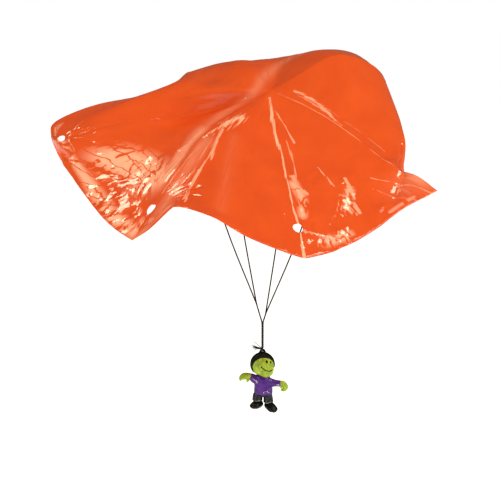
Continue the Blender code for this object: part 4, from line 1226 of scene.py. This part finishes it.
def film_material():
    """Polyethylene film: saturated pigment under a glossy skin, with painted highlights and sheen on its
    ridges and crumpled patches, and creases worn pale.
    """
    made, tree, shader = start_material("orange_polyethylene_film")
    flat = read_layer(tree, "flat", "Vector")

    # Painted sheen, in fine streaks that run from the crown towards the rim.
    sheen_streaks = noise(tree, around(tree, flat, turns=70.0, rings=26.0), scale=1.0, detail=3.0)
    sheen_share = maths(tree, "MULTIPLY", read_layer(tree, "painted_sheen"), remap(tree, sheen_streaks, 0.40, 0.62, 0.45, 1.0))

    # Painted highlights on crumpled film: pale torn facets, with dark veins that fan out of the front left
    # hole.
    bent = noise(tree, flat, scale=90.0, detail=2.0).outputs["Color"]
    straight = around(tree, flat, turns=8.0, rings=26.0, centre=(*hole_centre(VEIN_ANGLE), 0))
    fan = vectors(tree, "MULTIPLY_ADD", bent, (0.9, 0.5, 0), straight)
    facets = remap(tree, cells(tree, fan, feature="DISTANCE_TO_EDGE"), 0.02, 0.07)
    broken = noise(tree, fan, scale=0.8, detail=3.0)
    flecks = noise(tree, around(tree, flat, turns=30.0, rings=60.0), scale=1.0, detail=4.0, distortion=0.6)
    torn = maths(tree, "ADD", maths(tree, "MULTIPLY", broken, 0.55), maths(tree, "MULTIPLY", flecks, 0.45))
    painted_glints = maths(tree, "MULTIPLY", facets, remap(tree, torn, 0.455, 0.485))
    painted_glints = maths(tree, "MULTIPLY", painted_glints, remap(tree, read_layer(tree, "painted_glints"), 0.2, 0.8))

    # A sharp crest is worn pale and painted with a highlight, in broken dashes.
    dashes = noise(tree, around(tree, flat, turns=60.0, rings=40.0), scale=1.0, detail=4.0)
    ragged = maths(tree, "ADD", read_layer(tree, "crest"), remap(tree, dashes, 0.3, 0.7, -0.9, 1.1))
    crest_wear_and_highlight = maths(tree, "MULTIPLY", remap(tree, ragged, 0.8, 0.55), read_layer(tree, "pale"))

    # The pigment is a little cloudy, and gives way to the pale tone of the painted highlights, painted sheen
    # and worn crests.
    pale = maths(tree, "MAXIMUM", maths(tree, "MAXIMUM", sheen_share, painted_glints), crest_wear_and_highlight)
    share = maths(tree, "MULTIPLY", pale, PALE_MOST, use_clamp=True)
    clouds = remap(tree, noise(tree, flat, scale=35.0, detail=3.0), 0.35, 0.65)
    pigment = blend(tree, clouds, linear(FILM_DEEP), linear(FILM_COLOUR))
    tone = blend(tree, share, pigment, linear(PALE_HIGHLIGHT_AND_WEAR_COLOUR))

    # Small facets and the streaks of the painted sheen catch the light, and some light comes through.
    facets = facet_pattern(tree, flat, 1 / RELIEF_SIZE, RELIEF_SHIFTS)
    relief = maths(tree, "ADD", maths(tree, "MULTIPLY", facets, read_layer(tree, "crumple")),
                   maths(tree, "MULTIPLY", sheen_share, 0.3))
    bump = add_node(tree, "ShaderNodeBump", {"Height": relief, "Strength": 1.0, "Distance": 0.0004})
    feed(tree, shader, {"Base Color": tone, "Normal": bump, "Roughness": 0.09, "IOR": 1.5})
    glow = add_node(tree, "ShaderNodeBsdfTranslucent", {"Color": tone})
    both = add_node(tree, "ShaderNodeMixShader", {0: SHINES_THROUGH, 1: shader, 2: glow})
    feed(tree, tree.nodes["Material Output"], {"Surface": both})
    return made


def make_stage():
    """A pale floor, a white room and four soft lights."""
    form = bmesh.new()
    bmesh.ops.create_grid(form, x_segments=1, y_segments=1, size=12)
    mesh = as_mesh(form, "floor")
    floor = add_object("floor", mesh)
    floor.location = (0, 0, -FLOOR_DROP)
    opal, tree, shader = start_material("opal_acrylic_light_table")
    feed(tree, shader, {"Base Color": linear("#F4F4F2"), "Roughness": 0.6, "Emission Color": (1, 1, 1, 1),
                        "Emission Strength": 0.96})
    mesh.materials.append(opal)
    white_room()
    add_light("left_softbox", aimed(-60, 50), distance=1.6, size=0.35, power=7, colour=GLEAM_COLOUR)
    add_light("right_softbox", aimed(98, 50), distance=1.6, size=0.35, power=9, colour=GLEAM_COLOUR)
    add_light("front_softbox", aimed(126, 30), distance=2.2, size=1.4, power=35)
    add_light("low_softbox", (-0.70, -0.66, 0.24), distance=1.3, size=0.25, power=7)


def aimed(bearing, height):
    """A direction, by its bearing from straight behind the toy towards the right, and its height."""
    turn, rise = math.radians(bearing), math.radians(height)
    return math.cos(rise) * math.sin(turn), math.cos(rise) * math.cos(turn), math.sin(rise)


def white_room():
    """A room that looks white, and lights the toy softly from warm dim walls and a dimmer ceiling."""
    world = bpy.data.worlds.new("white_room")
    bpy.context.scene.world = world
    world.use_nodes = True
    tree = world.node_tree
    way = add_node(tree, "ShaderNodeTexCoord").outputs["Generated"]
    height = add_node(tree, "ShaderNodeSeparateXYZ", {0: way}).outputs["Z"]
    seen = add_node(tree, "ShaderNodeLightPath").outputs["Is Camera Ray"]
    feed(tree, tree.nodes["Background"], {
        "Strength": maths(tree, "MAXIMUM", remap(tree, height, 0.0, 0.5, WALL_LIGHT, CEILING_LIGHT), seen),
        "Color": blend(tree, seen, ROOM_COLOUR, (1.0, 1.0, 1.0, 1.0))})


def add_light(name, way, distance, size, power, colour=(1.0, 1.0, 1.0)):
    """A square softbox in a direction from the canopy, facing it."""
    light = bpy.data.lights.new(name, "AREA")
    light.shape = "RECTANGLE"
    light.size = light.size_y = size
    light.energy = power
    light.color = colour
    item = add_object(name, light)
    item.location = Vector(way).normalized() * distance
    item.rotation_euler = Vector(way).to_track_quat("Z", "Y").to_euler()


def make_camera():
    """The camera that took the photograph."""
    lens = bpy.data.cameras.new("camera")
    lens.lens = CAMERA_LENS
    lens.sensor_width = SENSOR
    lens.clip_start = 0.01
    lens.clip_end = 100
    camera = add_object("camera", lens)
    camera.location = CAMERA_PLACE
    camera.rotation_euler = (CAMERA_TILT, 0, 0)
    bpy.context.scene.camera = camera


bpy.context.scene.view_settings.view_transform = "Standard"
make_camera()
make_stage()
film = make_film(film_material())
make_threads(thread_material())
make_figure()
